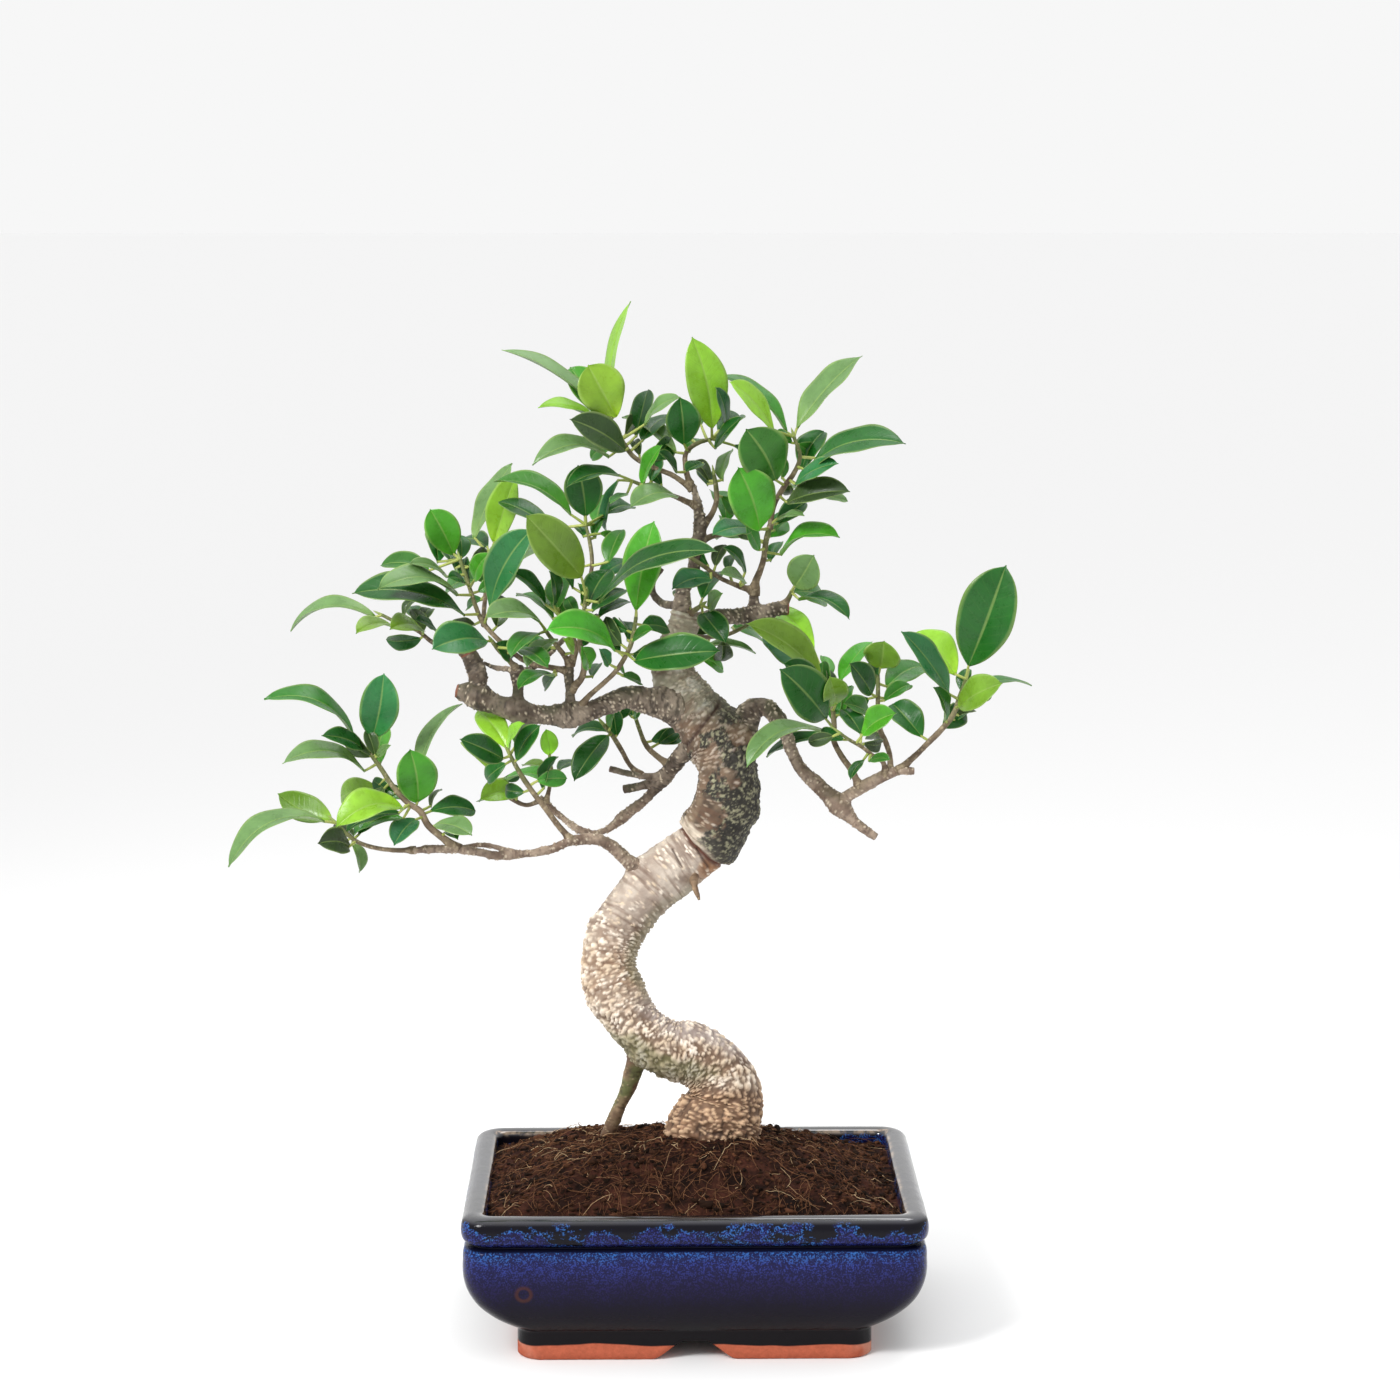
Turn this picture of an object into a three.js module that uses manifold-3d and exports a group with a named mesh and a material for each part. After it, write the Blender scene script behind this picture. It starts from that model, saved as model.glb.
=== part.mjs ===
// Bonsai fig in a glazed rectangular pot: pot, drain meshes, soil, trunk, branches and leafy twigs.
// Millimetres, +Z up, the front of the tree faces -Y.
import * as THREE from "three";
import { mergeVertices } from "three/addons/utils/BufferGeometryUtils.js";
import Module from "manifold-3d";

const wasm = await Module();
wasm.setup();
const { Manifold } = wasm;

// ---------------------------------------------------------------- driving dimensions

const gap = 0.3; // clearance between pieces that touch

const pot = {
  length: 220, // along X, over the rim
  depth: 156, // along Y, over the rim
  height: 72,
  rimWidth: 11, // width of the flat rim seen from above
  rimBand: 13, // height of the raised band under the rim
  grooveDepth: 4.5,
  wall: 9,
  floor: 9, // thickness of the floor over the recess
  footLength: 168,
  footDepth: 134,
  footHeight: 14,
  footWidth: 14, // width of the strip that stands on the table
  recess: 9, // height of the recess under the floor
  cornerRadius: 12,
  cutoutFoot: 41, // width of the front and back cut-outs on the table
  cutoutTop: 12, // width of the cut-outs at their top
};

const drain = { spacing: 90, diameter: 16, meshSize: 30, meshThickness: 1 };

const soil = {
  drop: 6, // from the rim down to the soil at the wall
  mound: 30, // from the soil at the wall up to the soil round the trunk
  moundShift: -6, // the mound's middle, along X
};

const plant = {
  potHeight: 72, // pot height that the heights in the lists below were set over
  scale: 1, // overall size of the tree, grown from the middle of its base
  girth: 1, // thickness of trunk, branches and twigs
  spread: 1.3, // spread of the crown from front to back, as a share of the lists' y
  leafLength: 1,
  leafWidth: 1,
  leafThickness: 0.8,
  stalk: 1.4, // thickness of a leaf stalk
};

// The lists of points are drawn in a plane square to this line of sight, each with its own y for
// how far back it is, so that the tree has its drawn outline from this viewpoint.
const sight = {
  from: new THREE.Vector3(-18, -1508.6, 544.7), // the viewpoint, from the middle of the pot's foot
  down: 9.05, // degrees below level
  right: 0.81, // degrees right of straight back
  reach: 1600, // from the viewpoint to the drawing plane
  x: 4, z: 305.5, // the drawing's point on the line of sight
};

const sides = { trunk: 12, branch: 8, twig: 5 };

// ---------------------------------------------------------------- materials

const finish = (color, roughness) => new THREE.MeshStandardMaterial({ color, roughness, metalness: 0 });
const glaze = finish(0x1a2260, 0.2);
const netting = finish(0x202020, 0.6);
const peat = finish(0x24140c, 0.95);
const bark = finish(0x9a8a74, 0.85);
const youngBark = finish(0x5e5040, 0.8);
const foliage = finish(0x3f6b1f, 0.4);

// ---------------------------------------------------------------- the tree, as lists of points

// A stem is a list of [x, y, z, radius]. Heights are from the table.
const trunkStems = [
  [[6, 0, 52, 14], [8, 0, 72, 20], [11, 0, 88, 23], [13.5, 0, 97, 21.5], [16, 0, 105, 19], [16, -1, 112, 17.5],
    [11, -2, 121.5, 15.6],
    [0.5, -3, 128.5, 15.2], [-12.5, -4, 131.5, 14.6], [-24, -4, 139.5, 12.9], [-32.5, -3, 149.5, 13.3],
    [-38.5, -2, 161, 14.6], [-41, -1, 172, 13.2], [-40.2, 0, 181, 13.3], [-37, 1, 190, 13.6],
    [-31.5, 2, 199, 13.4], [-24, 3, 208.5, 13.4], [-14.5, 4, 218, 14.4], [-4.5, 4, 225.5, 13.9],
    [4, 3, 232, 13.6], [11.5, 1, 241, 15.4], [17, -1, 255, 15.8], [18, -2, 270, 14.5], [14.5, -1, 283, 16],
    [7, 0, 294, 14], [-2, 2, 305, 13], [-9, 3, 318, 11], [-9, 3, 331, 8.5], [-5, 2, 341, 6.5], [-3, 2, 349, 5]],
  [[-24, 0, 133, 4.5], [-28, 2, 125, 4.6], [-30, 4, 118, 4.3], [-32.5, 6, 110, 3.6], [-36, 8, 103, 3.1],
    [-39, 9, 96, 3.4], [-42, 10, 88, 3.6], [-46, 11, 78, 2.6], [-50, 12, 66, 1.4]],
];

const branches = {
  left_branch: [
    [[-4, -1, 300, 7.5], [-13, -4, 303, 8], [-22, -6, 305, 6.6], [-32, -8, 307, 5.6], [-42, -10, 303.5, 5],
      [-52, -12, 299.5, 5], [-62, -12, 297, 5.4], [-72, -12, 298, 4.8], [-82, -11, 298.5, 4.8],
      [-92, -9, 301, 4.8], [-100, -8, 304, 5], [-107, -7, 307, 5.4], [-113, -6, 309, 4.4], [-118, -6, 310, 3.2]],
    [[-107, -7, 308, 4.4], [-107, -6, 316, 4.8], [-109, -5, 323, 4.8], [-112, -5, 329, 4]],
    [[-87, -10, 301, 3.4], [-87, -9, 311, 2.7], [-87, -9, 319, 3.3], [-87, -9, 323, 2]],
    [[-87, -9, 319, 1.6], [-92, -7, 321, 1.4], [-98, -4, 321.5, 1.2], [-104, 0, 324, 1]],
    [[-85, -9, 319, 1.7], [-79, -6, 322, 1.5], [-72, -2, 328, 1.3], [-64, 3, 336, 1]],
    [[-61, -12, 300, 2.8], [-61, -12, 310, 2.3], [-61.5, -13, 318, 2.5], [-61, -13, 325, 2]],
  ],
  low_left_branch: [
    [[-20, 1, 214, 5], [-28, -2, 222, 4], [-33, -4, 226, 3.5], [-38, -6, 231, 3], [-45, -9, 235, 2.6],
      [-52, -11, 236, 2.5], [-60, -14, 235, 2.4], [-70, -16, 231, 2.3], [-80, -18, 229, 2.2],
      [-90, -20, 228, 2.1], [-100, -22, 228, 2.2], [-109, -23, 230, 2.1], [-118, -24, 231, 2.2],
      [-128, -23, 231, 2], [-140, -20, 230.5, 1.5]],
    [[-91, -20, 229, 1.4], [-98, -17, 232, 1.2], [-106, -16, 233, 1.1], [-115, -18, 232, 1]],
  ],
  mid_left_branch: [
    [[2, 1, 285, 5], [-5, 5, 278, 4.4], [-9, 8, 273, 4], [-14, 11, 267, 3.5], [-20, 15, 259, 2.5],
      [-28, 19, 252, 2.3], [-36, 22, 246, 2.7], [-42, 23, 241, 1.7], [-50, 24, 239, 1.6], [-57, 25, 241, 1.5],
      [-64, 26, 246, 1.4], [-70, 26, 251, 1.4], [-76, 27, 257, 1.3]],
    [[-13, 10, 267, 2.2], [-24, 9, 267.5, 1.7], [-33, 8, 269, 1.5], [-41, 6, 271, 1.3]],
    [[-16, 12, 266, 2.4], [-26, 15, 262.5, 2.1], [-34, 17, 261, 2]],
  ],
  right_branch: [
    [[13, -1, 283, 9], [22, -2, 287, 8], [27, -3, 295, 6.2], [31, -4, 301, 5.4], [36, -5, 302, 4.6],
      [40.5, -6, 299, 4.2], [44, -7, 294, 4.4], [47, -8, 288.5, 3.5], [49.5, -9, 281, 3.2], [55, -10, 270.5, 3.2],
      [62, -11, 264, 3.9], [68, -12, 258, 3.5], [75, -13, 251.5, 3.4], [80, -13, 246, 3], [86, -13, 241, 2.5],
      [92, -12, 237, 2.2]],
    [[73, -13, 253, 2.8], [78, -15, 257.5, 3], [82, -16, 260, 3], [86, -17, 262.5, 3], [91, -18, 265, 3],
      [97, -19, 268, 2.8], [103, -20, 270, 2.4], [111, -21, 270, 1.8]],
  ],
  upper_right_branch: [
    [[-3, 2, 343, 3.6], [8, 4, 346.5, 4], [20, 6, 347, 4.2], [30, 8, 348, 4.4], [37, 9, 349.5, 4],
      [42, 10, 351, 3.4], [48, 11, 351, 2.8]],
    [[31, 8, 349, 3], [31, 8, 356, 2.5], [31, 8, 361, 2.4]],
  ],
  apex_stem: [
    [[-3, 2, 346, 4.5], [-5, 1, 352, 3.6], [-4, 0, 361, 3.5], [0, -1, 369, 3.1], [2, -2, 378, 3],
      [3, -2, 386, 3], [4, -2, 393, 3.4], [3, -2, 400, 2.6], [2, -1, 407, 2.1], [0, 0, 413, 1.7]],
    [[-4, 1, 354, 2.6], [-10, 6, 353, 2], [-15, 9, 354, 1.8], [-19, 11, 358, 1.8], [-20, 12, 363, 1.8],
      [-15, 14, 371, 1.2]],
  ],
};

// A spray is a twig with its leaves. A leaf is
// [blade base x, y, z, blade tip x, y, z, width, turn of the face up from the front in degrees, arch].
const sprays = {
  far_left_rising_spray: {
    stems: [
      [[-116, -24, 231, 2], [-125, -24, 237, 1.9], [-132, -24, 243, 1.8], [-136, -23, 250, 1.6],
        [-142, -22, 254, 1.4], [-150, -20, 263, 1.3], [-156, -18, 272, 1.2], [-161, -16, 279, 1]],
    ],
    leaves: [
      [-169, -18, 288, -214, -26, 306, 20, 66, 10],
      [-160, -14, 286, -154, -20, 319, 19, 5, 3],
      [-156, -8, 273, -153, 2, 292, 13, 38, 2],
      [-164, -16, 281, -185, -34, 288, 12, 45, 3],
      [-163, -18, 270, -205, -30, 274, 18, 64, 9],
      [-158, -17, 277, -151, -27, 283, 5, 40, 1],
      [-157, -14, 262, -176, 2, 256, 13, 20, 3],
      [-144, -27, 251, -178, -42, 242, 19, 42, 8],
      [-146, -22, 249, -173, -24, 240, 12, 55, 4],
      [-144, -18, 246, -171, -8, 236, 13, 60, 5],
      [-137, -22, 254, -141, -28, 281, 20, 8, 2],
      [-137, -16, 268, -115, 2, 304, 14, 62, 4],
      [-131, -22, 250, -108, -14, 250, 13, 40, 3],
      [-129, -24, 243, -110, -40, 238, 13, 46, 3],
      [-138, -28, 246, -149, -45, 233, 13, 32, 2],
      [-131, -20, 252, -125, -12, 261, 5, 60, 2],
      [-123, -27, 240, -117, -36, 236, 6, 40, 1],
    ],
  },
  far_left_outer_spray: {
    stems: [
      [[-138, -20, 230.5, 1.5], [-150, -19, 230.5, 1.2], [-160, -17, 232, 1.1], [-168, -15, 235, 1.1],
        [-173, -14, 239, 1], [-178, -13, 244, 0.9]],
    ],
    leaves: [
      [-180, -12, 246, -207, -5, 259, 18, 38, -3],
      [-183, -15, 245, -232, -26, 222, 18, 62, 13],
      [-171, -17, 232, -187, -29, 234, 14, 25, 3],
      [-170, -12, 234, -166, -3, 219, 9, 50, 2],
    ],
  },
  low_left_rising_spray: {
    stems: [
      [[-60, -14, 235, 1.8], [-67, -15, 243, 1.5], [-73, -16, 251, 1.4], [-80, -17, 260, 1.3],
        [-86, -18, 269, 1.3], [-91, -18, 278, 1]],
    ],
    leaves: [
      [-94, -19, 276, -116, -34, 286, 13, 22, 3],
      [-92, -14, 281, -107, 2, 301, 13, 20, 3],
      [-92, -20, 281, -84, -31, 294, 9, 62, 2],
      [-88, -19, 275, -76, -29, 293, 11, 35, 2],
      [-88, -13, 283, -78, 8, 298, 12, 40, 2],
    ],
  },
  mid_left_outer_spray: {
    stems: [
      [[-75, 27, 255.5, 1.4], [-83, 28, 253, 1.1], [-90, 29, 256, 1.1], [-97, 30, 261, 1], [-99, 31, 268, 0.9]],
    ],
    leaves: [
      [-100, 32, 270, -115, 45, 285, 12, 32, 3],
      [-96, 27, 264, -68, 10, 263, 12, 66, 5],
      [-87, 26, 259, -106, 12, 256, 13, 30, 3],
    ],
  },
  mid_left_inner_spray: {
    stems: [[[-73, 26, 254, 1.3], [-71, 25, 263, 1], [-70, 24, 269, 0.9], [-71, 23, 275, 0.8]]],
    leaves: [
      [-71, 22, 278, -73, 17, 291, 9, 10, 1],
      [-74, 25, 271, -85, 36, 273, 8, 60, 1],
    ],
  },
  mid_left_near_spray: {
    stems: [
      [[-25, 9, 267.5, 1.6], [-31, 11, 273, 1.3], [-35, 13, 280, 1.3], [-40, 15, 288, 1.2], [-44, 16, 293, 1]],
    ],
    leaves: [
      [-42, 12, 288, -59, 0, 265, 14, 28, 3],
      [-42, 17, 290, -60, 30, 287, 9, 55, 3],
      [-41, 14, 291, -38, 6, 302, 6, 50, 1],
    ],
  },
  mid_left_upright_spray: {
    stems: [
      [[-9, 8, 272, 2.2], [-17, 12, 277, 1.5], [-23, 16, 283, 1.3], [-26, 18, 290, 1.1], [-28, 18, 296, 1]],
    ],
    leaves: [
      [-29, 16, 296, -24, 6, 303, 6, 45, 1],
      [-30, 20, 297, -40, 34, 306, 12, 40, 3],
    ],
  },
  left_outer_spray: {
    stems: [
      [[-111, -5, 326, 2.4], [-118, -5, 332, 1.5], [-129, -4, 334, 1.2], [-137, -3, 340, 1], [-147, -2, 344, 0.9],
        [-155, -1, 348, 0.8]],
    ],
    leaves: [
      [-158, -1, 347, -201, 8, 340, 16, 70, 9],
      [-150, -5, 343, -168, -22, 339, 12, 58, 3],
      [-134, -7, 340, -151, -26, 341, 14, 55, 3],
      [-127, -9, 340, -138, -20, 346, 8, 60, 1],
      [-134, 1, 344, -143, 15, 352, 9, 40, 2],
    ],
  },
  left_high_spray: {
    stems: [
      [[-62, -13, 320, 1.8], [-72, -13, 322, 1.4], [-80, -12, 323.5, 1.3], [-88, -11, 328, 1.3],
        [-95, -10, 334, 1.2], [-101, -8, 340, 1.2], [-105, -6, 345, 1.2], [-108, -4, 352, 1.1],
        [-111, -2, 361, 1.1], [-114, 0, 370, 1], [-116, 1, 376, 0.9]],
    ],
    leaves: [
      [-113, -10, 348, -170, -26, 359, 24, 58, 8],
      [-131, 6, 370, -156, 12, 373, 14, 50, 3],
      [-117, -9, 358, -157, -34, 361, 17, 62, 8],
      [-119, 2, 378, -131, -4, 401, 17, 8, 2],
      [-109, -9, 365, -101, -22, 379, 10, 35, 2],
      [-127, 10, 374, -131, 22, 390, 12, 35, 2],
      [-118, 4, 371, -127, 16, 382, 9, 55, 2],
      [-122, -5, 367, -141, -22, 374, 9, 66, 3],
      [-113, -8, 364, -122, -20, 367, 7, 50, 1],
      [-101, -16, 352, -80, -30, 391, 20, 32, 4],
      [-69, -16, 318, -87, -30, 311, 12, 62, 4],
      [-68, -10, 318, -74, 2, 311, 7, 40, 1],
    ],
  },
  left_back_spray: {
    stems: [
      [[-104, -6, 343, 1.5], [-104, 4, 350, 1.2], [-103, 14, 360, 1.1], [-102, 20, 370, 1], [-101, 24, 378, 0.9]],
    ],
    leaves: [
      [-109, 26, 386, -90, 34, 424, 16, 55, 3],
      [-99, 22, 384, -88, 12, 418, 17, 28, 2],
      [-102, 28, 382, -115, 44, 386, 13, 50, 2],
      [-98, 12, 356, -88, 20, 372, 12, 40, 2],
      [-91, 22, 372, -77, 38, 382, 11, 45, 2],
      [-106, 20, 366, -124, 44, 356, 14, 55, 4],
    ],
  },
  left_front_spray: {
    stems: [[[-87, -9, 320, 1.7], [-92, -13, 326, 1.3], [-97, -17, 331, 1.2], [-100, -20, 335, 1]]],
    leaves: [
      [-102, -22, 335, -130, -40, 331, 20, 36, 4],
      [-88, -24, 331, -72, -46, 322, 12, 50, 3],
    ],
  },
  centre_left_spray: {
    stems: [
      [[-61, -13, 323, 2], [-58, -15, 332, 1.5], [-61, -17, 339, 1.3], [-66, -18, 348, 1]],
      [[-61, -13, 323, 1.8], [-64, -17, 328, 1.3], [-68, -21, 333, 1.2], [-73, -25, 340, 1]],
    ],
    leaves: [
      [-67, -17, 351, -64, -7, 369, 13, 30, 2],
      [-69, -21, 352, -71, -32, 370, 10, 58, 2],
      [-73, -19, 353, -91, -30, 370, 12, 58, 3],
      [-76, -28, 345, -103, -42, 347, 18, 60, 5],
      [-69, -14, 346, -88, 2, 358, 12, 66, 4],
      [-76, -28, 339, -91, -42, 327, 13, 55, 4],
      [-67, -24, 336, -83, -34, 322, 13, 55, 3],
      [-59, -20, 329, -64, -32, 336, 7, 50, 1],
    ],
  },
  centre_spray: {
    stems: [
      [[-60.5, -12, 310, 1.9], [-55, -15, 317, 1.7], [-54, -18, 326, 1.6], [-56, -20, 333, 1.4],
        [-56, -22, 341, 1.3], [-54, -24, 350, 1.2], [-53, -25, 358, 1]],
    ],
    leaves: [
      [-55, -30, 367, -83, -48, 398, 22, 15, 5],
      [-59, -22, 361, -79, -30, 388, 13, 48, 3],
      [-47, -28, 354, 13, -54, 380, 20, 60, 11],
      [-52, -21, 353, -41, -8, 371, 14, 30, 2],
      [-50, -25, 350, -33, -10, 361, 11, 50, 2],
      [-47, -19, 347, -31, -2, 355, 9, 48, 2],
      [-51, -18, 321, -55, -32, 332, 10, 35, 1],
      [-50, -12, 317, -46, 0, 324, 6, 40, 1],
    ],
  },
  centre_high_spray: {
    stems: [
      [[-54, -24, 351, 1.1], [-52, -14, 362, 1.1], [-50, -8, 374, 1], [-51, -5, 384, 1], [-53, -4, 393, 0.8]],
    ],
    leaves: [
      [-60, -3, 398, -99, 4, 415, 18, 62, 5],
      [-53, -5, 397, -57, -10, 423, 19, 5, 2],
      [-70, 0, 391, -97, 10, 405, 15, 56, 3],
      [-48, 2, 393, -43, 14, 409, 10, 40, 1],
      [-46, -4, 389, -38, 4, 384, 6, 40, 1],
      [-42, -12, 374, -35, -2, 391, 12, 40, 2],
      [-46, -8, 367, -31, 4, 375, 12, 45, 2],
      [-44, 4, 398, -29, 16, 402, 12, 50, 3],
    ],
  },
  centre_front_spray: {
    stems: [
      [[-58, -12, 300, 2], [-51, -16, 308, 1.4], [-43, -19, 315, 1.3], [-38, -21, 320, 1.3], [-34, -22, 326, 1.2],
        [-31, -23, 332, 1.2], [-29, -24, 340, 1.1], [-28, -24, 347, 0.9]],
    ],
    leaves: [
      [-28, -25, 350, -19, -30, 395, 21, 30, 3],
      [-38, -27, 330, -73, -46, 341, 19, 42, 6],
      [-36, -18, 329, -53, -2, 345, 13, 50, 3],
      [-29, -30, 325, 14, -42, 330, 20, 30, 5],
      [-30, -28, 335, -20, -42, 341, 8, 50, 1],
      [-25, -19, 343, -11, -6, 341, 11, 40, 1],
      [-41, -24, 323, -46, -36, 331, 7, 35, 1],
      [-35, -18, 318, -25, -6, 314, 7, 50, 1],
    ],
  },
  hub_spray: {
    stems: [
      [[-2, 2, 346, 2.4], [1, -4, 350, 1.6], [5, -7, 353, 1.1]],
    ],
    leaves: [
      [5, -3, 356, 13, 12, 370, 12, 35, 2],
      [5, -10, 349, 17, -24, 334, 14, 22, 3],
      [8, -9, 351, 15, -20, 359, 10, 45, 1],
    ],
  },
  hub_under_spray: {
    stems: [
      [[-2, 5, 337, 1.8], [9, 10, 337, 1.1], [17, 12, 338, 1], [28, 13, 343, 0.8]],
    ],
    leaves: [
      [7, 14, 333, 32, 26, 329, 8, 66, 2],
      [1, 16, 330, 16, 26, 320, 9, 45, 2],
      [20, 16, 342, 34, 40, 336, 13, 55, 3],
    ],
  },
  upper_inner_spray: {
    stems: [
      [[31, 8, 360, 1.9], [22, 5, 363, 1.3], [15, 0, 366, 1.2], [5, -7, 373, 1.1], [-6, -10, 380, 0.9]],
    ],
    leaves: [
      [10, -7, 366, -10, -18, 361, 14, 45, 3],
      [27, 3, 369, 16, -6, 382, 10, 60, 2],
      [18, 8, 370, 23, 18, 379, 8, 50, 1],
      [27, 1, 364, 14, -16, 369, 9, 58, 2],
    ],
  },
  upper_right_spray: {
    stems: [
      [[31, 8, 358, 2.4], [32, 7, 365, 1.9], [34, 6, 370, 1.6], [36, 4, 377, 1.5], [37, 2, 385, 1.4],
        [39, 0, 393, 1.3]],
    ],
    leaves: [
      [34, -6, 390, 23, -17, 422, 24, 18, 3],
      [30, -4, 391, 10, -16, 388, 14, 50, 3],
      [31, 6, 386, 12, 20, 386, 12, 60, 3],
      [34, -1, 380, 27, -12, 393, 9, 45, 1],
      [39, 6, 375, 45, 16, 385, 8, 45, 1],
      [44, 2, 378, 74, -10, 387, 16, 66, 7],
      [41, 2, 390, 45, 10, 400, 6, 50, 1],
      [42, -3, 396, 56, -14, 398, 6, 60, 1],
    ],
  },
  upper_right_end_spray: {
    stems: [[[43, 10, 351, 1.8], [48, 10, 356, 1.3], [50, 8, 360, 1]]],
    leaves: [
      [51, 2, 362, 61, -8, 378, 17, 10, 2],
      [53, 6, 356, 79, -6, 346, 13, 62, 5],
      [50, 15, 360, 66, 36, 356, 15, 40, 3],
    ],
  },
  apex_left_spray: {
    stems: [
      [[0, 0, 411, 1.7], [-10, -3, 418, 1.3], [-20, -6, 422, 1.2], [-29, -8, 427, 1.2], [-36, -9, 437, 1.1],
        [-41, -10, 446, 0.9]],
    ],
    leaves: [
      [-42, -10, 450, -31, -4, 505, 18, 74, 3],
      [-38, -13, 447, -52, -17, 473, 23, 8, 3],
      [-44, -7, 449, -95, -1, 481, 16, 72, 4],
      [-46, -2, 447, -61, 6, 472, 19, 32, 2],
      [-47, -13, 445, -77, -22, 452, 12, 68, 4],
      [-33, -12, 430, -61, -26, 446, 17, 28, 3],
      [-35, -5, 431, -53, 8, 434, 9, 62, 2],
      [-41, -15, 427, -80, -27, 423, 16, 62, 9],
      [-28, -4, 437, -22, 8, 461, 12, 35, 2],
      [-25, -2, 435, -11, 14, 448, 12, 48, 2],
      [-24, -12, 443, -6, -26, 457, 10, 58, 3],
    ],
  },
  apex_low_left_spray: {
    stems: [[[3, -2, 402, 1.8], [-8, -5, 407, 1.3], [-20, -8, 411, 1.2], [-30, -9, 415, 0.9]]],
    leaves: [
      [-36, -14, 418, -63, -28, 412, 13, 58, 4],
      [-37, -3, 416, -43, 8, 389, 9, 58, 3],
      [-32, -15, 409, -41, -26, 404, 6, 60, 1],
      [-25, -13, 413, -15, -26, 433, 10, 50, 2],
      [-20, -2, 416, -12, 12, 430, 10, 50, 2],
      [-7, -11, 407, -31, -26, 402, 16, 56, 5],
    ],
  },
  apex_top_spray: {
    stems: [
      [[0, 0, 410, 1.9], [-3, 1, 421, 1.3], [-3, 2, 429, 1.2], [3, 3, 434, 1.1], [10, 4, 436, 0.9]],
    ],
    leaves: [
      [-8, 1, 429, -35, 14, 447, 14, 60, 4],
      [-4, -1, 433, -6, -8, 457, 17, 8, 2],
      [-7, -3, 419, -17, -14, 430, 8, 60, 1],
      [10, 1, 441, 0, -6, 487, 20, 15, 3],
      [17, 0, 441, 12, -10, 462, 11, 60, 2],
      [4, 10, 443, 16, 24, 454, 9, 60, 2],
      [11, -2, 431, 25, -12, 447, 11, 60, 2],
      [13, 12, 440, 24, 30, 448, 12, 40, 2],
      [21, 8, 433, 33, 20, 420, 9, 50, 2],
      [6, -5, 424, -3, -16, 420, 8, 50, 1],
    ],
  },
  apex_right_spray: {
    stems: [
      [[39, 0, 391, 1.5], [41, -2, 403, 1.4], [46, -4, 412, 1.4], [51, -5, 419, 1.3], [54, -6, 427, 1.1],
        [51, -5, 437, 0.9]],
    ],
    leaves: [
      [42, -8, 415, 27, -18, 441, 25, 12, 2],
      [55, -1, 421, 66, 10, 440, 14, 30, 2],
      [57, -9, 420, 107, -24, 434, 22, 60, 9],
      [66, 0, 426, 90, 12, 433, 13, 64, 3],
      [51, -9, 413, 73, -24, 424, 13, 55, 3],
      [47, -8, 404, 79, -20, 410, 17, 48, 4],
      [62, 4, 408, 78, 12, 405, 8, 50, 1],
      [44, 0, 409, 54, 12, 412, 6, 60, 1],
      [48, -2, 439, 12, 8, 468, 14, 66, 5],
      [41, -9, 440, 19, -20, 465, 16, 55, 3],
      [52, -3, 441, 85, 8, 478, 19, 54, 3],
    ],
  },
  apex_side_spray: {
    stems: [
      [[3, -2, 384, 2.2], [9, 2, 387, 1.5], [16, 5, 389, 1.3], [25, 8, 394, 1]],
    ],
    leaves: [
      [17, 9, 394, 10, 26, 410, 14, 40, 3],
      [26, 12, 398, 38, 30, 412, 15, 40, 3],
    ],
  },
  apex_inner_spray: {
    stems: [
      [[4, -2, 392, 2.4], [9, 0, 397, 1.5], [12, 1, 404, 1.3], [12, 2, 412, 1.2], [11, 3, 418, 0.9]],
    ],
    leaves: [
      [15, 4, 415, 20, 14, 431, 10, 55, 2],
      [8, 5, 413, 4, 14, 421, 8, 30, 1],
    ],
  },
  right_end_spray: {
    stems: [
      [[102, -20, 269.5, 2], [112, -20, 278, 1.5], [118, -19, 284, 1.4], [124, -18, 290, 1.4], [131, -17, 299, 1.3],
        [134, -16, 308, 1.1], [137, -15, 316, 0.9]],
    ],
    leaves: [
      [138, -17, 322, 157, -30, 373, 29, 15, 4],
      [132, -11, 318, 111, -3, 339, 19, 25, 3],
      [129, -20, 308, 105, -38, 340, 17, 48, 3],
      [133, -20, 302, 155, -36, 314, 17, 32, 3],
      [136, -11, 305, 170, 2, 313, 12, 70, 6],
      [127, -21, 295, 121, -33, 312, 10, 58, 2],
      [131, -13, 295, 140, -3, 302, 8, 50, 1],
      [115, -13, 287, 100, -4, 304, 16, 28, 2],
    ],
  },
  right_middle_spray: {
    stems: [
      [[99, -19, 268, 2], [99, -15, 277, 1.4], [97, -10, 284, 1.4], [94, -4, 291, 1.3], [93, 0, 300, 1.3],
        [93, 4, 310, 1.1], [93, 8, 318, 0.9]],
    ],
    leaves: [
      [94, 8, 321, 96, 2, 335, 18, 10, 1],
      [89, -4, 298, 76, -18, 304, 12, 45, 2],
      [90, 1, 308, 79, -10, 324, 14, 35, 2],
      [97, 8, 312, 116, 28, 322, 16, 40, 4],
    ],
  },
  right_inner_spray: {
    stems: [
      [[84, -17, 261, 2], [80, -16, 270, 1.7], [75, -13, 277, 1.6], [71, -10, 285, 1.5], [71, -6, 294, 1.4],
        [70, -3, 303, 1.3], [68, 0, 312, 1]],
    ],
    leaves: [
      [74, 2, 315, 90, 14, 335, 13, 50, 2],
      [69, 4, 317, 65, 14, 328, 7, 40, 1],
      [72, -9, 303, 69, -24, 317, 14, 20, 2],
      [65, -4, 315, 27, -20, 344, 20, 45, 4],
      [61, 8, 331, 38, 20, 352, 14, 42, 3],
      [61, 2, 317, 35, 12, 339, 18, 38, 3],
      [65, -8, 311, 46, -24, 324, 14, 30, 2],
      [67, -14, 296, 44, -32, 321, 24, 25, 4],
      [75, -5, 298, 80, 4, 313, 10, 45, 2],
      [67, -17, 290, 27, -36, 272, 18, 62, 9],
      [69, -5, 288, 37, 10, 277, 11, 60, 3],
    ],
  },
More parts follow.
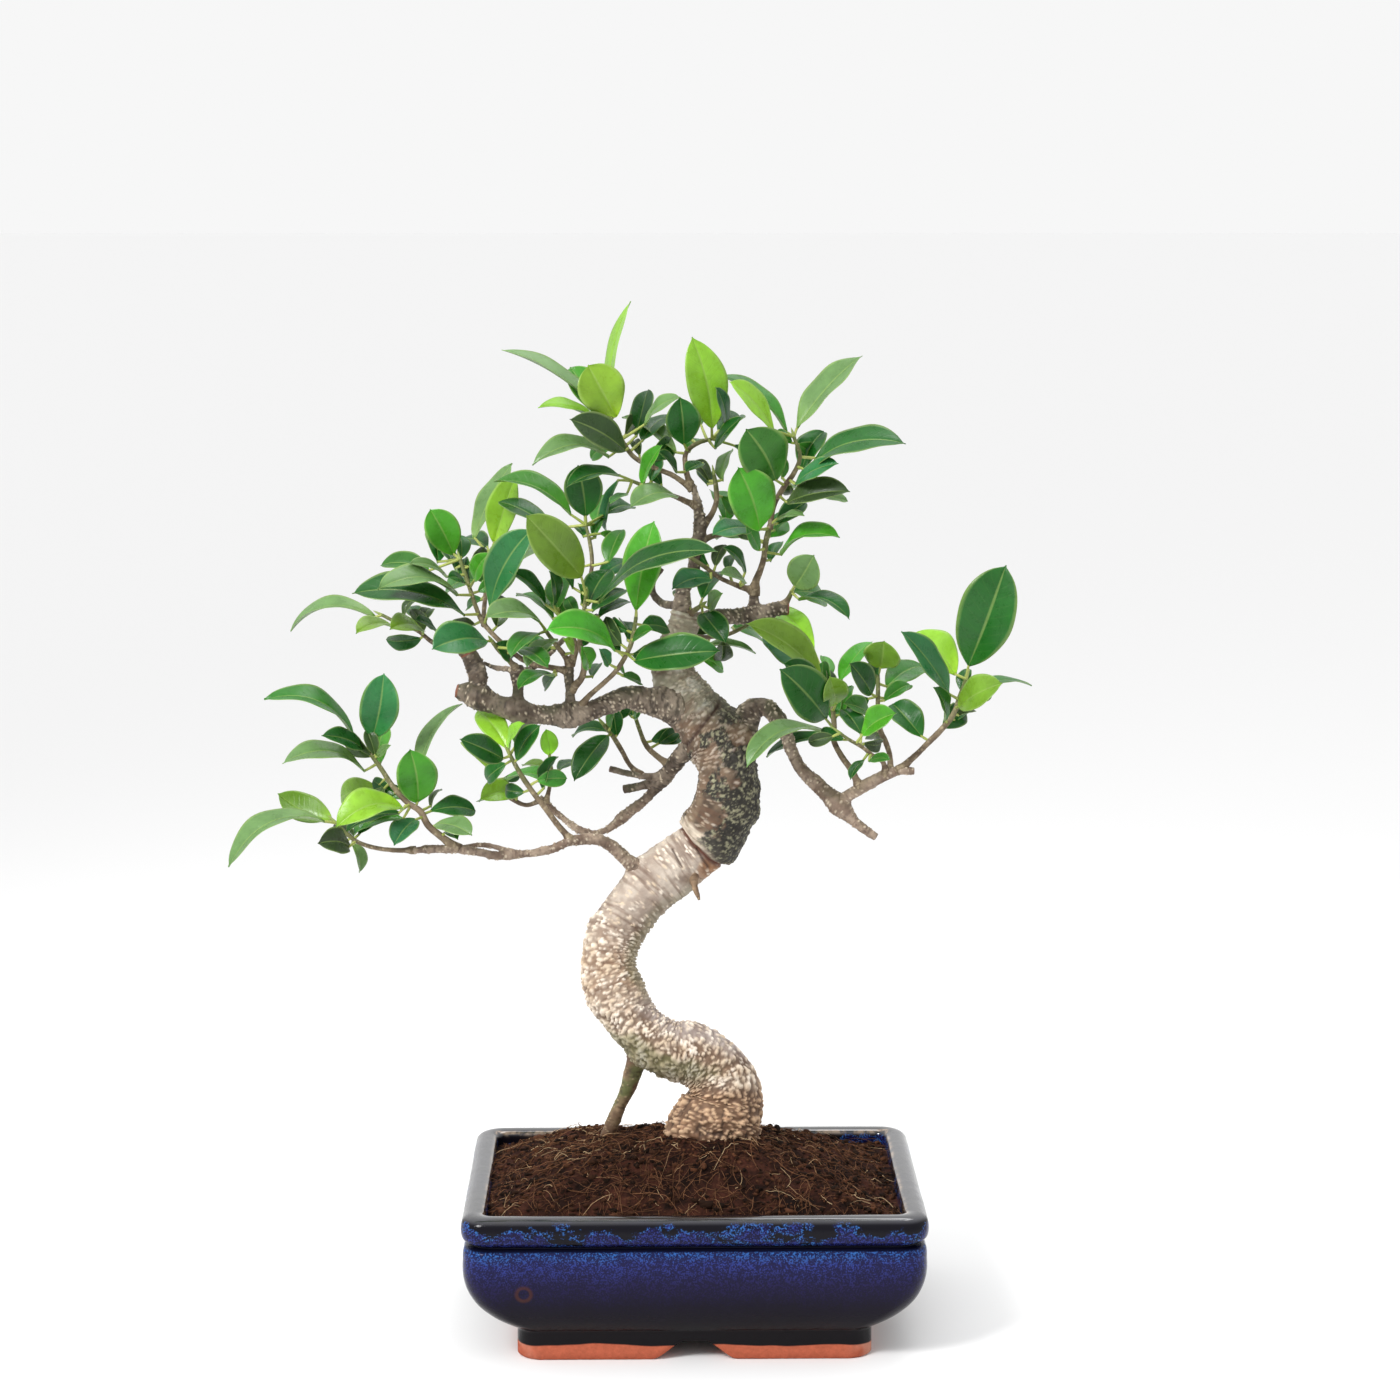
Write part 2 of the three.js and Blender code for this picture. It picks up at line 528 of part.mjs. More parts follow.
  right_small_spray: {
    stems: [
      [[97, -19, 267, 1.8], [95, -23, 275, 1.2], [90, -25, 278, 1.1], [85, -26, 282, 1], [78, -28, 286, 0.9],
        [74, -29, 289, 0.8]],
    ],
    leaves: [
      [85, -28, 288, 102, -40, 299, 15, 38, 2],
      [85, -22, 288, 75, -14, 301, 12, 40, 2],
      [86, -26, 276, 79, -36, 266, 6, 40, 1],
      [88, -29, 275, 99, -40, 276, 6, 40, 1],
    ],
  },
};

// ---------------------------------------------------------------- solids from geometry

function solidOf(geometry) {
  const bare = geometry.clone();
  bare.deleteAttribute("normal");
  bare.deleteAttribute("uv");
  const merged = mergeVertices(bare, 1e-4);
  return new Manifold(new wasm.Mesh({
    numProp: 3,
    vertProperties: new Float32Array(merged.attributes.position.array),
    triVerts: new Uint32Array(merged.index.array),
  }));
}

function geometryOf(solid) {
  const { vertProperties, triVerts } = solid.getMesh();
  const geometry = new THREE.BufferGeometry();
  geometry.setAttribute("position", new THREE.BufferAttribute(new Float32Array(vertProperties), 3));
  geometry.setIndex(new THREE.BufferAttribute(new Uint32Array(triVerts), 1));
  return geometry;
}

// The skin over rings of points, each ring the same length, or one point long at the last end.
function skin(rings) {
  const points = rings.flat();
  const triangles = [];
  const count = rings[0].length;
  const starts = rings.map((ring, i) => i * count);
  rings.slice(1).forEach((ring, i) => {
    for (let k = 0; k < count; k += 1) {
      const next = (k + 1) % count;
      if (ring.length === 1) {
        triangles.push(starts[i] + k, starts[i] + next, starts[i + 1]);
      } else {
        triangles.push(starts[i] + k, starts[i] + next, starts[i + 1] + next);
        triangles.push(starts[i] + k, starts[i + 1] + next, starts[i + 1] + k);
      }
    }
  });
  for (let k = 1; k < count - 1; k += 1) {
    triangles.push(0, k + 1, k);
    const last = starts[rings.length - 1];
    if (rings[rings.length - 1].length > 1) triangles.push(last, last + k, last + k + 1);
  }
  const geometry = new THREE.BufferGeometry().setFromPoints(points);
  geometry.setIndex(triangles);
  return solidOf(geometry);
}

// ---------------------------------------------------------------- pot, drain meshes and soil

// A rounded rectangle at height z, anticlockwise from above.
function roundedRing(halfLength, halfDepth, radius, z, cornerSteps = 4) {
  const ring = [];
  const corners = [[1, 1], [-1, 1], [-1, -1], [1, -1]];
  corners.forEach(([sx, sy], corner) => {
    for (let step = 0; step <= cornerSteps; step += 1) {
      const angle = (corner + step / cornerSteps) * (Math.PI / 2);
      ring.push(new THREE.Vector3(
        sx * (halfLength - radius) + radius * Math.cos(angle),
        sy * (halfDepth - radius) + radius * Math.sin(angle),
        z,
      ));
    }
  });
  return ring;
}

// A pot ring drawn in from the rim towards the foot: 0 at the rim, 1 at the foot.
function potRing(inward, z, inset = 0) {
  const halfLength = THREE.MathUtils.lerp(pot.length, pot.footLength, inward) / 2 - inset;
  const halfDepth = THREE.MathUtils.lerp(pot.depth, pot.footDepth, inward) / 2 - inset;
  return roundedRing(halfLength, halfDepth, Math.max(pot.cornerRadius - inset * 0.6, 3), z);
}

const cavityFloor = pot.recess + pot.floor;
const bellyTop = pot.height - pot.rimBand - 3; // the groove is 3 mm high

function potSolid() {
  const belly = bellyTop - pot.footHeight;
  const outside = [
    potRing(1, 0),
    potRing(1, pot.footHeight),
    potRing(0.86, pot.footHeight + belly * 0.04),
    potRing(0.5, pot.footHeight + belly * 0.18),
    potRing(0.2, pot.footHeight + belly * 0.38),
    potRing(0.03, pot.footHeight + belly * 0.66),
    potRing(0.02, pot.footHeight + belly * 0.84),
    potRing(0.06, bellyTop),
    potRing(0, bellyTop + 1.5, pot.grooveDepth),
    potRing(0, bellyTop + 4, 1),
    potRing(0, pot.height - pot.rimBand * 0.45),
    potRing(0, pot.height - 2, 1.5),
    potRing(0, pot.height, 4),
  ];
  const inside = [
    potRing(0, pot.height, pot.rimWidth - 1),
    potRing(0, pot.height - 1.5, pot.rimWidth),
    potRing(0.06, bellyTop, pot.wall),
    potRing(0.2, pot.footHeight + belly * 0.38, pot.wall),
    potRing(0.7, cavityFloor, pot.wall),
  ];
  let body = skin([...outside, ...inside]);

  const below = -1;
  const recess = skin([
    roundedRing(pot.footLength / 2 - pot.footWidth, pot.footDepth / 2 - pot.footWidth, 4, below),
    roundedRing(pot.footLength / 2 - pot.footWidth, pot.footDepth / 2 - pot.footWidth, 4, pot.recess),
  ]);
  const outline = new THREE.Shape();
  outline.moveTo(-pot.cutoutFoot / 2, below);
  outline.lineTo(-pot.cutoutFoot / 2, 0);
  outline.quadraticCurveTo(-pot.cutoutTop, 1, -pot.cutoutTop / 2, pot.recess);
  outline.lineTo(pot.cutoutTop / 2, pot.recess);
  outline.quadraticCurveTo(pot.cutoutTop, 1, pot.cutoutFoot / 2, 0);
  outline.lineTo(pot.cutoutFoot / 2, below);
  const cutout = new THREE.ExtrudeGeometry(outline, { depth: pot.depth, bevelEnabled: false, curveSegments: 5 });
  cutout.rotateX(Math.PI / 2);
  cutout.translate(0, pot.depth / 2, 0);
  body = body.subtract(recess).subtract(solidOf(cutout));

  for (const side of [-1, 1]) {
    const hole = new THREE.CylinderGeometry(drain.diameter / 2, drain.diameter / 2, pot.floor * 3, 20);
    hole.rotateX(Math.PI / 2);
    hole.translate((side * drain.spacing) / 2, 0, cavityFloor);
    body = body.subtract(solidOf(hole));
  }
  return body;
}

function drainMeshSolid(side) {
  const plate = new THREE.BoxGeometry(drain.meshSize, drain.meshSize, drain.meshThickness);
  plate.translate((side * drain.spacing) / 2, 0, cavityFloor + gap + drain.meshThickness / 2);
  return solidOf(plate);
}

// The soil fills the pot from just over the drain meshes and rises in a mound round the trunk.
function soilSolid() {
  const wallLevel = pot.height - soil.drop;
  const belly = bellyTop - pot.footHeight;
  const side = pot.wall + gap;
  const moundRing = (share) => {
    const level = wallLevel + soil.mound * (1 - share ** 1.6);
    return potRing(0.03, level, side).map((point) => {
      point.x = point.x * share + soil.moundShift * (1 - share);
      point.y *= share;
      return point;
    });
  };
  return skin([
    potRing(0.7, cavityFloor + drain.meshThickness + 2 * gap, side + 2),
    potRing(0.2, pot.footHeight + belly * 0.38, side + gap),
    potRing(0.06, bellyTop, side + gap),
    potRing(0, wallLevel, pot.rimWidth + 2 * gap),
    ...[0.75, 0.5, 0.28, 0.12].map(moundRing),
  ]);
}

// ---------------------------------------------------------------- stems and leaves

const lift = pot.height - plant.potHeight;
const treeBase = new THREE.Vector3(12, 0, plant.potHeight);
const look = new THREE.Euler(
  THREE.MathUtils.degToRad(-sight.down), 0, THREE.MathUtils.degToRad(-sight.right), "ZXY",
);
const across = new THREE.Vector3(1, 0, 0).applyEuler(look);
const ahead = new THREE.Vector3(0, 1, 0).applyEuler(look);
const upward = new THREE.Vector3(0, 0, 1).applyEuler(look);

// A listed point moved along its own line of sight to its depth, and the size there of a listed millimetre.
function place(x, y, z) {
  const line = ahead.clone().multiplyScalar(sight.reach)
    .addScaledVector(across, x - sight.x)
    .addScaledVector(upward, z - sight.z);
  const share = (y * plant.spread - sight.from.y) / line.y;
  const point = sight.from.clone().addScaledVector(line, share);
  point.sub(treeBase).multiplyScalar(plant.scale).add(treeBase);
  point.z += lift;
  return { point, size: share * plant.scale };
}

// A tapering stem: one ring of points round each point of its list.
function stemSolid(points, sideCount, grow) {
  const spots = points.map(([x, y, z]) => place(x, y, z));
  const centres = spots.map(({ point }) => point);
  const outward = new THREE.Vector3();
  const rings = points.map(([, , , listed], i) => {
    const before = centres[Math.max(i - 1, 0)];
    const after = centres[Math.min(i + 1, centres.length - 1)];
    const along = after.clone().sub(before).normalize();
    if (i === 0) outward.set(0, 1, 0);
    outward.addScaledVector(along, -outward.dot(along)).normalize();
    const other = along.clone().cross(outward);
    const radius = listed * spots[i].size * plant.girth + grow;
    return Array.from({ length: sideCount }, (_, k) => {
      const angle = (k / sideCount) * 2 * Math.PI;
      return centres[i].clone()
        .addScaledVector(outward, radius * Math.cos(angle))
        .addScaledVector(other, radius * Math.sin(angle));
    });
  });
  return skin(rings);
}

// The nearest point to a place on the middle line of a twig.
function nearestOn(stems, target) {
  const candidates = stems.flatMap((stem) => {
    const centres = stem.map(([x, y, z]) => place(x, y, z).point);
    return centres.slice(1).map((end, i) => (
      new THREE.Line3(centres[i], end).closestPointToPoint(target, true, new THREE.Vector3())
    ));
  });
  candidates.sort((a, b) => a.distanceTo(target) - b.distanceTo(target));
  return candidates[0];
}

// A leaf: a thin stalk from the twig, then a blade that widens, narrows and ends in a point.
function leafSolid(stems, [bx, by, bz, tx, ty, tz, width, turn, arch], grow) {
  const { point: base, size } = place(bx, by, bz);
  const chord = place(tx, ty, tz).point.sub(base).multiplyScalar(plant.leafLength);
  const root = nearestOn(stems, base);
  const along = chord.clone().normalize();
  const front = new THREE.Vector3(0, -1, 0);
  front.addScaledVector(along, -front.dot(along)).normalize();
  const up = along.clone().cross(front);
  if (up.z < 0) up.negate();
  const angle = THREE.MathUtils.degToRad(turn);
  const face = front.multiplyScalar(Math.cos(angle)).addScaledVector(up, Math.sin(angle));
  const side = along.clone().cross(face);
  const halfThickness = (plant.leafThickness / 2) * plant.scale + grow;
  const halfStalk = (plant.stalk / 2) * plant.scale + grow;

  const section = (centre, direction, halfWidth, halfHeight) => {
    const turned = new THREE.Quaternion().setFromUnitVectors(along, direction);
    const a = side.clone().applyQuaternion(turned).multiplyScalar(halfWidth);
    const n = face.clone().applyQuaternion(turned).multiplyScalar(halfHeight);
    return [centre.clone().add(a), centre.clone().sub(n), centre.clone().sub(a), centre.clone().add(n)];
  };
  const onBlade = (share) => base.clone().addScaledVector(chord, share)
    .addScaledVector(face, arch * size * 4 * share * (1 - share));
  const bladeSection = (share, widthShare) => section(
    onBlade(share), along, (width / 2) * widthShare * size * plant.leafWidth + grow, halfThickness,
  );
  const stalkLine = base.clone().sub(root).normalize();
  const turnIn = stalkLine.clone().add(along).normalize();
  return skin([
    section(root, stalkLine, halfStalk, halfStalk),
    section(base, turnIn, halfStalk, halfStalk),
    bladeSection(0.28, 0.84),
    bladeSection(0.68, 0.9),
    [onBlade(1).addScaledVector(along, grow)],
  ]);
}

function limbSolid(stems, sideCount, grow = 0) {
  return Manifold.union(stems.map((stem) => stemSolid(stem, sideCount, grow)));
}

function spraySolid({ stems, leaves }, grow = 0) {
  return Manifold.union([
    limbSolid(stems, sides.twig, grow),
    ...leaves.map((leaf) => leafSolid(stems, leaf, grow)),
  ]);
}

// ---------------------------------------------------------------- assembly

const tree = new THREE.Group();

function addPiece(name, solid, material) {
  const mesh = new THREE.Mesh(geometryOf(solid), material);
  mesh.name = name;
  tree.add(mesh);
}

// Each new plant piece is trimmed clear of the ones already in place, so that it is seated on them.
const placed = [];

function boxesMeet(a, b) {
  return [0, 1, 2].every((axis) => a.min[axis] < b.max[axis] && b.min[axis] < a.max[axis]);
}

function growPiece(name, make, material) {
  let solid = make(0);
  for (const neighbour of placed) {
    if (boxesMeet(solid.boundingBox(), neighbour.boundingBox())) solid = solid.subtract(neighbour);
  }
  const [largest] = solid.decompose().sort((a, b) => b.volume() - a.volume());
  addPiece(name, largest, material);
  placed.push(make(gap));
}

growPiece("trunk", (grow) => limbSolid(trunkStems, sides.trunk, grow), bark);
addPiece("pot", potSolid(), glaze);
addPiece("drain_mesh_left", drainMeshSolid(-1), netting);
addPiece("drain_mesh_right", drainMeshSolid(1), netting);
addPiece("soil", soilSolid().subtract(placed[0]), peat);
for (const [name, stems] of Object.entries(branches)) {
  growPiece(name, (grow) => limbSolid(stems, sides.branch, grow), youngBark);
}
for (const [name, spray] of Object.entries(sprays)) {
  growPiece(name, (grow) => spraySolid(spray, grow), foliage);
}

// The origin is on the table under the middle of the whole plant.
const extent = new THREE.Box3().setFromObject(tree, true);
const middle = extent.getCenter(new THREE.Vector3());
tree.position.set(-middle.x, -middle.y, -extent.min.z);

export default tree;
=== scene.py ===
"""A fig bonsai in a blue glazed pot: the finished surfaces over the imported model.

Lengths are in millimetres from the middle of the pot's foot until a mesh is made, which puts
them in metres in the frame's own place.
"""
import math

import bpy
import mathutils
import numpy as np
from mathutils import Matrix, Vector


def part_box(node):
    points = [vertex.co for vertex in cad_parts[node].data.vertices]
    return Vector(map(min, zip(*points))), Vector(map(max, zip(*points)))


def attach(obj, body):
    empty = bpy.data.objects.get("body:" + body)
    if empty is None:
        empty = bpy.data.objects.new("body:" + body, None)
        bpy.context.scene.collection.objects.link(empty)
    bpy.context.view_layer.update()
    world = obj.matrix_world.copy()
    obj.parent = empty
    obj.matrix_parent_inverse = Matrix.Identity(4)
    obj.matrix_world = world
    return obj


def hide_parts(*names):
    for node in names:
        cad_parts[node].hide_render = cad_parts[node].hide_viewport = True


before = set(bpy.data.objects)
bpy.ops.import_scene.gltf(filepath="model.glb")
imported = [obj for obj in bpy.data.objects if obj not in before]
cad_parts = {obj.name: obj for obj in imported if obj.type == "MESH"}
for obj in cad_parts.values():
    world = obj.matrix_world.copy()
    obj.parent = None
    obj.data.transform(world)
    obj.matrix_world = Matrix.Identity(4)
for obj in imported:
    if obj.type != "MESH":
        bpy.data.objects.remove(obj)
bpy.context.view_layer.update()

MM = 0.001
POT_LOW, POT_HIGH = (np.array(corner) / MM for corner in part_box("pot"))
POT_SIZE = POT_HIGH - POT_LOW
ORIGIN = np.array([(POT_LOW[0] + POT_HIGH[0]) / 2, (POT_LOW[1] + POT_HIGH[1]) / 2, POT_LOW[2]])

# ------------------------------------------------------------------ driving sizes, mm

POT = {
    "rim_width": 11, "rim_band": 13, "groove_depth": 4.5, "wall": 9, "floor": 9,
    "foot_length": 168, "foot_depth": 134, "foot_height": 14, "foot_width": 14,
    "recess": 9, "corner": 12, "cutout_foot": 41, "cutout_top": 12,
}
DRAIN = {"spacing": 90, "diameter": 16}
SOIL = {"drop": 6, "mound": 24, "shift": -6, "collar": 6}
SPREAD = 1.3  # spread of the crown from front to back, as a share of the lists' y
SIGHT = {  # the lists are drawn in a plane square to this line of sight
    "from": (-18, -1508.6, 544.7),  # the viewpoint
    "down": 9.05,  # degrees below level
    "right": 0.81,  # degrees right of straight back
    "reach": 1600,  # from the viewpoint to the drawing plane
    "x": 4, "z": 305.5,  # the drawing's point on the line of sight
    "lens": 82.3, "sensor": 36,
}
BLADE_THICKNESS = 0.4
BLADE_WIDENING = 1.08  # blades are this much wider than listed
STALK_RADIUS = 0.55
STOUT = 12  # a stem with a radius over this has the trunk's corky bark
RING_GAP = 0.5  # between the rings of a stem
FLOOR_REACH = 40.0  # metres
LAMPS = (  # name, place from the middle of the tree in metres, watts, width in metres
    ("key", (-0.95, -0.95, 1.0), 4, 0.5),
    ("top", (0.3, 0.5, 1.6), 1.5, 0.9),
)
LAMP_SPREAD = 70  # degrees

# ------------------------------------------------------------------ the tree, as lists of points

# A stem is a list of [x, y, z, radius]. Heights are from the table.
TRUNK_STEMS = [
    [[6, 0, 52, 14], [8, 0, 72, 20], [11, 0, 88, 23], [13.5, 0, 97, 21.5], [16, 0, 105, 19],
        [16, -1, 112, 17.5],
        [11, -2, 121.5, 15.6],
        [0.5, -3, 128.5, 15.2], [-12.5, -4, 131.5, 14.6], [-24, -4, 139.5, 12.9], [-32.5, -3, 149.5, 13.3],
        [-38.5, -2, 161, 14.6], [-41, -1, 172, 13.2], [-40.2, 0, 181, 13.3], [-37, 1, 190, 13.6],
        [-31.5, 2, 199, 13.4], [-24, 3, 208.5, 13.4], [-14.5, 4, 218, 14.4], [-4.5, 4, 225.5, 13.9],
        [4, 3, 232, 13.6], [11.5, 1, 241, 15.4], [17, -1, 255, 15.8], [18, -2, 270, 14.5],
        [14.5, -1, 283, 16],
        [7, 0, 294, 14], [-2, 2, 305, 13], [-9, 3, 318, 11], [-9, 3, 331, 8.5], [-5, 2, 341, 6.5],
        [-3, 2, 349, 5]],
    [[-24, 0, 133, 4.5], [-28, 2, 125, 4.6], [-30, 4, 118, 4.3], [-32.5, 6, 110, 3.6], [-36, 8, 103, 3.1],
        [-39, 9, 96, 3.4], [-42, 10, 88, 3.6], [-46, 11, 78, 2.6], [-50, 12, 66, 1.4]],
]

BRANCHES = {
    "left_branch": [
        [[-4, -1, 300, 7.5], [-13, -4, 303, 8], [-22, -6, 305, 6.6], [-32, -8, 307, 5.6],
            [-42, -10, 303.5, 5],
            [-52, -12, 299.5, 5], [-62, -12, 297, 5.4], [-72, -12, 298, 4.8], [-82, -11, 298.5, 4.8],
            [-92, -9, 301, 4.8], [-100, -8, 304, 5], [-107, -7, 307, 5.4], [-113, -6, 309, 4.4],
            [-118, -6, 310, 3.2]],
        [[-107, -7, 308, 4.4], [-107, -6, 316, 4.8], [-109, -5, 323, 4.8], [-112, -5, 329, 4]],
        [[-87, -10, 301, 3.4], [-87, -9, 311, 2.7], [-87, -9, 319, 3.3], [-87, -9, 323, 2]],
        [[-87, -9, 319, 1.6], [-92, -7, 321, 1.4], [-98, -4, 321.5, 1.2], [-104, 0, 324, 1]],
        [[-85, -9, 319, 1.7], [-79, -6, 322, 1.5], [-72, -2, 328, 1.3], [-64, 3, 336, 1]],
        [[-61, -12, 300, 2.8], [-61, -12, 310, 2.3], [-61.5, -13, 318, 2.5], [-61, -13, 325, 2]],
    ],
    "low_left_branch": [
        [[-20, 1, 214, 5], [-28, -2, 222, 4], [-33, -4, 226, 3.5], [-38, -6, 231, 3], [-45, -9, 235, 2.6],
            [-52, -11, 236, 2.5], [-60, -14, 235, 2.4], [-70, -16, 231, 2.3], [-80, -18, 229, 2.2],
            [-90, -20, 228, 2.1], [-100, -22, 228, 2.2], [-109, -23, 230, 2.1], [-118, -24, 231, 2.2],
            [-128, -23, 231, 2], [-140, -20, 230.5, 1.5]],
        [[-91, -20, 229, 1.4], [-98, -17, 232, 1.2], [-106, -16, 233, 1.1], [-115, -18, 232, 1]],
    ],
    "mid_left_branch": [
        [[2, 1, 285, 5], [-5, 5, 278, 4.4], [-9, 8, 273, 4], [-14, 11, 267, 3.5], [-20, 15, 259, 2.5],
            [-28, 19, 252, 2.3], [-36, 22, 246, 2.7], [-42, 23, 241, 1.7], [-50, 24, 239, 1.6],
            [-57, 25, 241, 1.5],
            [-64, 26, 246, 1.4], [-70, 26, 251, 1.4], [-76, 27, 257, 1.3]],
        [[-13, 10, 267, 2.2], [-24, 9, 267.5, 1.7], [-33, 8, 269, 1.5], [-41, 6, 271, 1.3]],
        [[-16, 12, 266, 2.4], [-26, 15, 262.5, 2.1], [-34, 17, 261, 2]],
    ],
    "right_branch": [
        [[13, -1, 283, 9], [22, -2, 287, 8], [27, -3, 295, 6.2], [31, -4, 301, 5.4], [36, -5, 302, 4.6],
            [40.5, -6, 299, 4.2], [44, -7, 294, 4.4], [47, -8, 288.5, 3.5], [49.5, -9, 281, 3.2],
            [55, -10, 270.5, 3.2],
            [62, -11, 264, 3.9], [68, -12, 258, 3.5], [75, -13, 251.5, 3.4], [80, -13, 246, 3],
            [86, -13, 241, 2.5],
            [92, -12, 237, 2.2]],
        [[73, -13, 253, 2.8], [78, -15, 257.5, 3], [82, -16, 260, 3], [86, -17, 262.5, 3], [91, -18, 265, 3],
            [97, -19, 268, 2.8], [103, -20, 270, 2.4], [111, -21, 270, 1.8]],
    ],
    "upper_right_branch": [
        [[-3, 2, 343, 3.6], [8, 4, 346.5, 4], [20, 6, 347, 4.2], [30, 8, 348, 4.4], [37, 9, 349.5, 4],
            [42, 10, 351, 3.4], [48, 11, 351, 2.8]],
        [[31, 8, 349, 3], [31, 8, 356, 2.5], [31, 8, 361, 2.4]],
    ],
    "apex_stem": [
        [[-3, 2, 346, 4.5], [-5, 1, 352, 3.6], [-4, 0, 361, 3.5], [0, -1, 369, 3.1], [2, -2, 378, 3],
            [3, -2, 386, 3], [4, -2, 393, 3.4], [3, -2, 400, 2.6], [2, -1, 407, 2.1], [0, 0, 413, 1.7]],
        [[-4, 1, 354, 2.6], [-10, 6, 353, 2], [-15, 9, 354, 1.8], [-19, 11, 358, 1.8], [-20, 12, 363, 1.8],
            [-15, 14, 371, 1.2]],
    ],
}

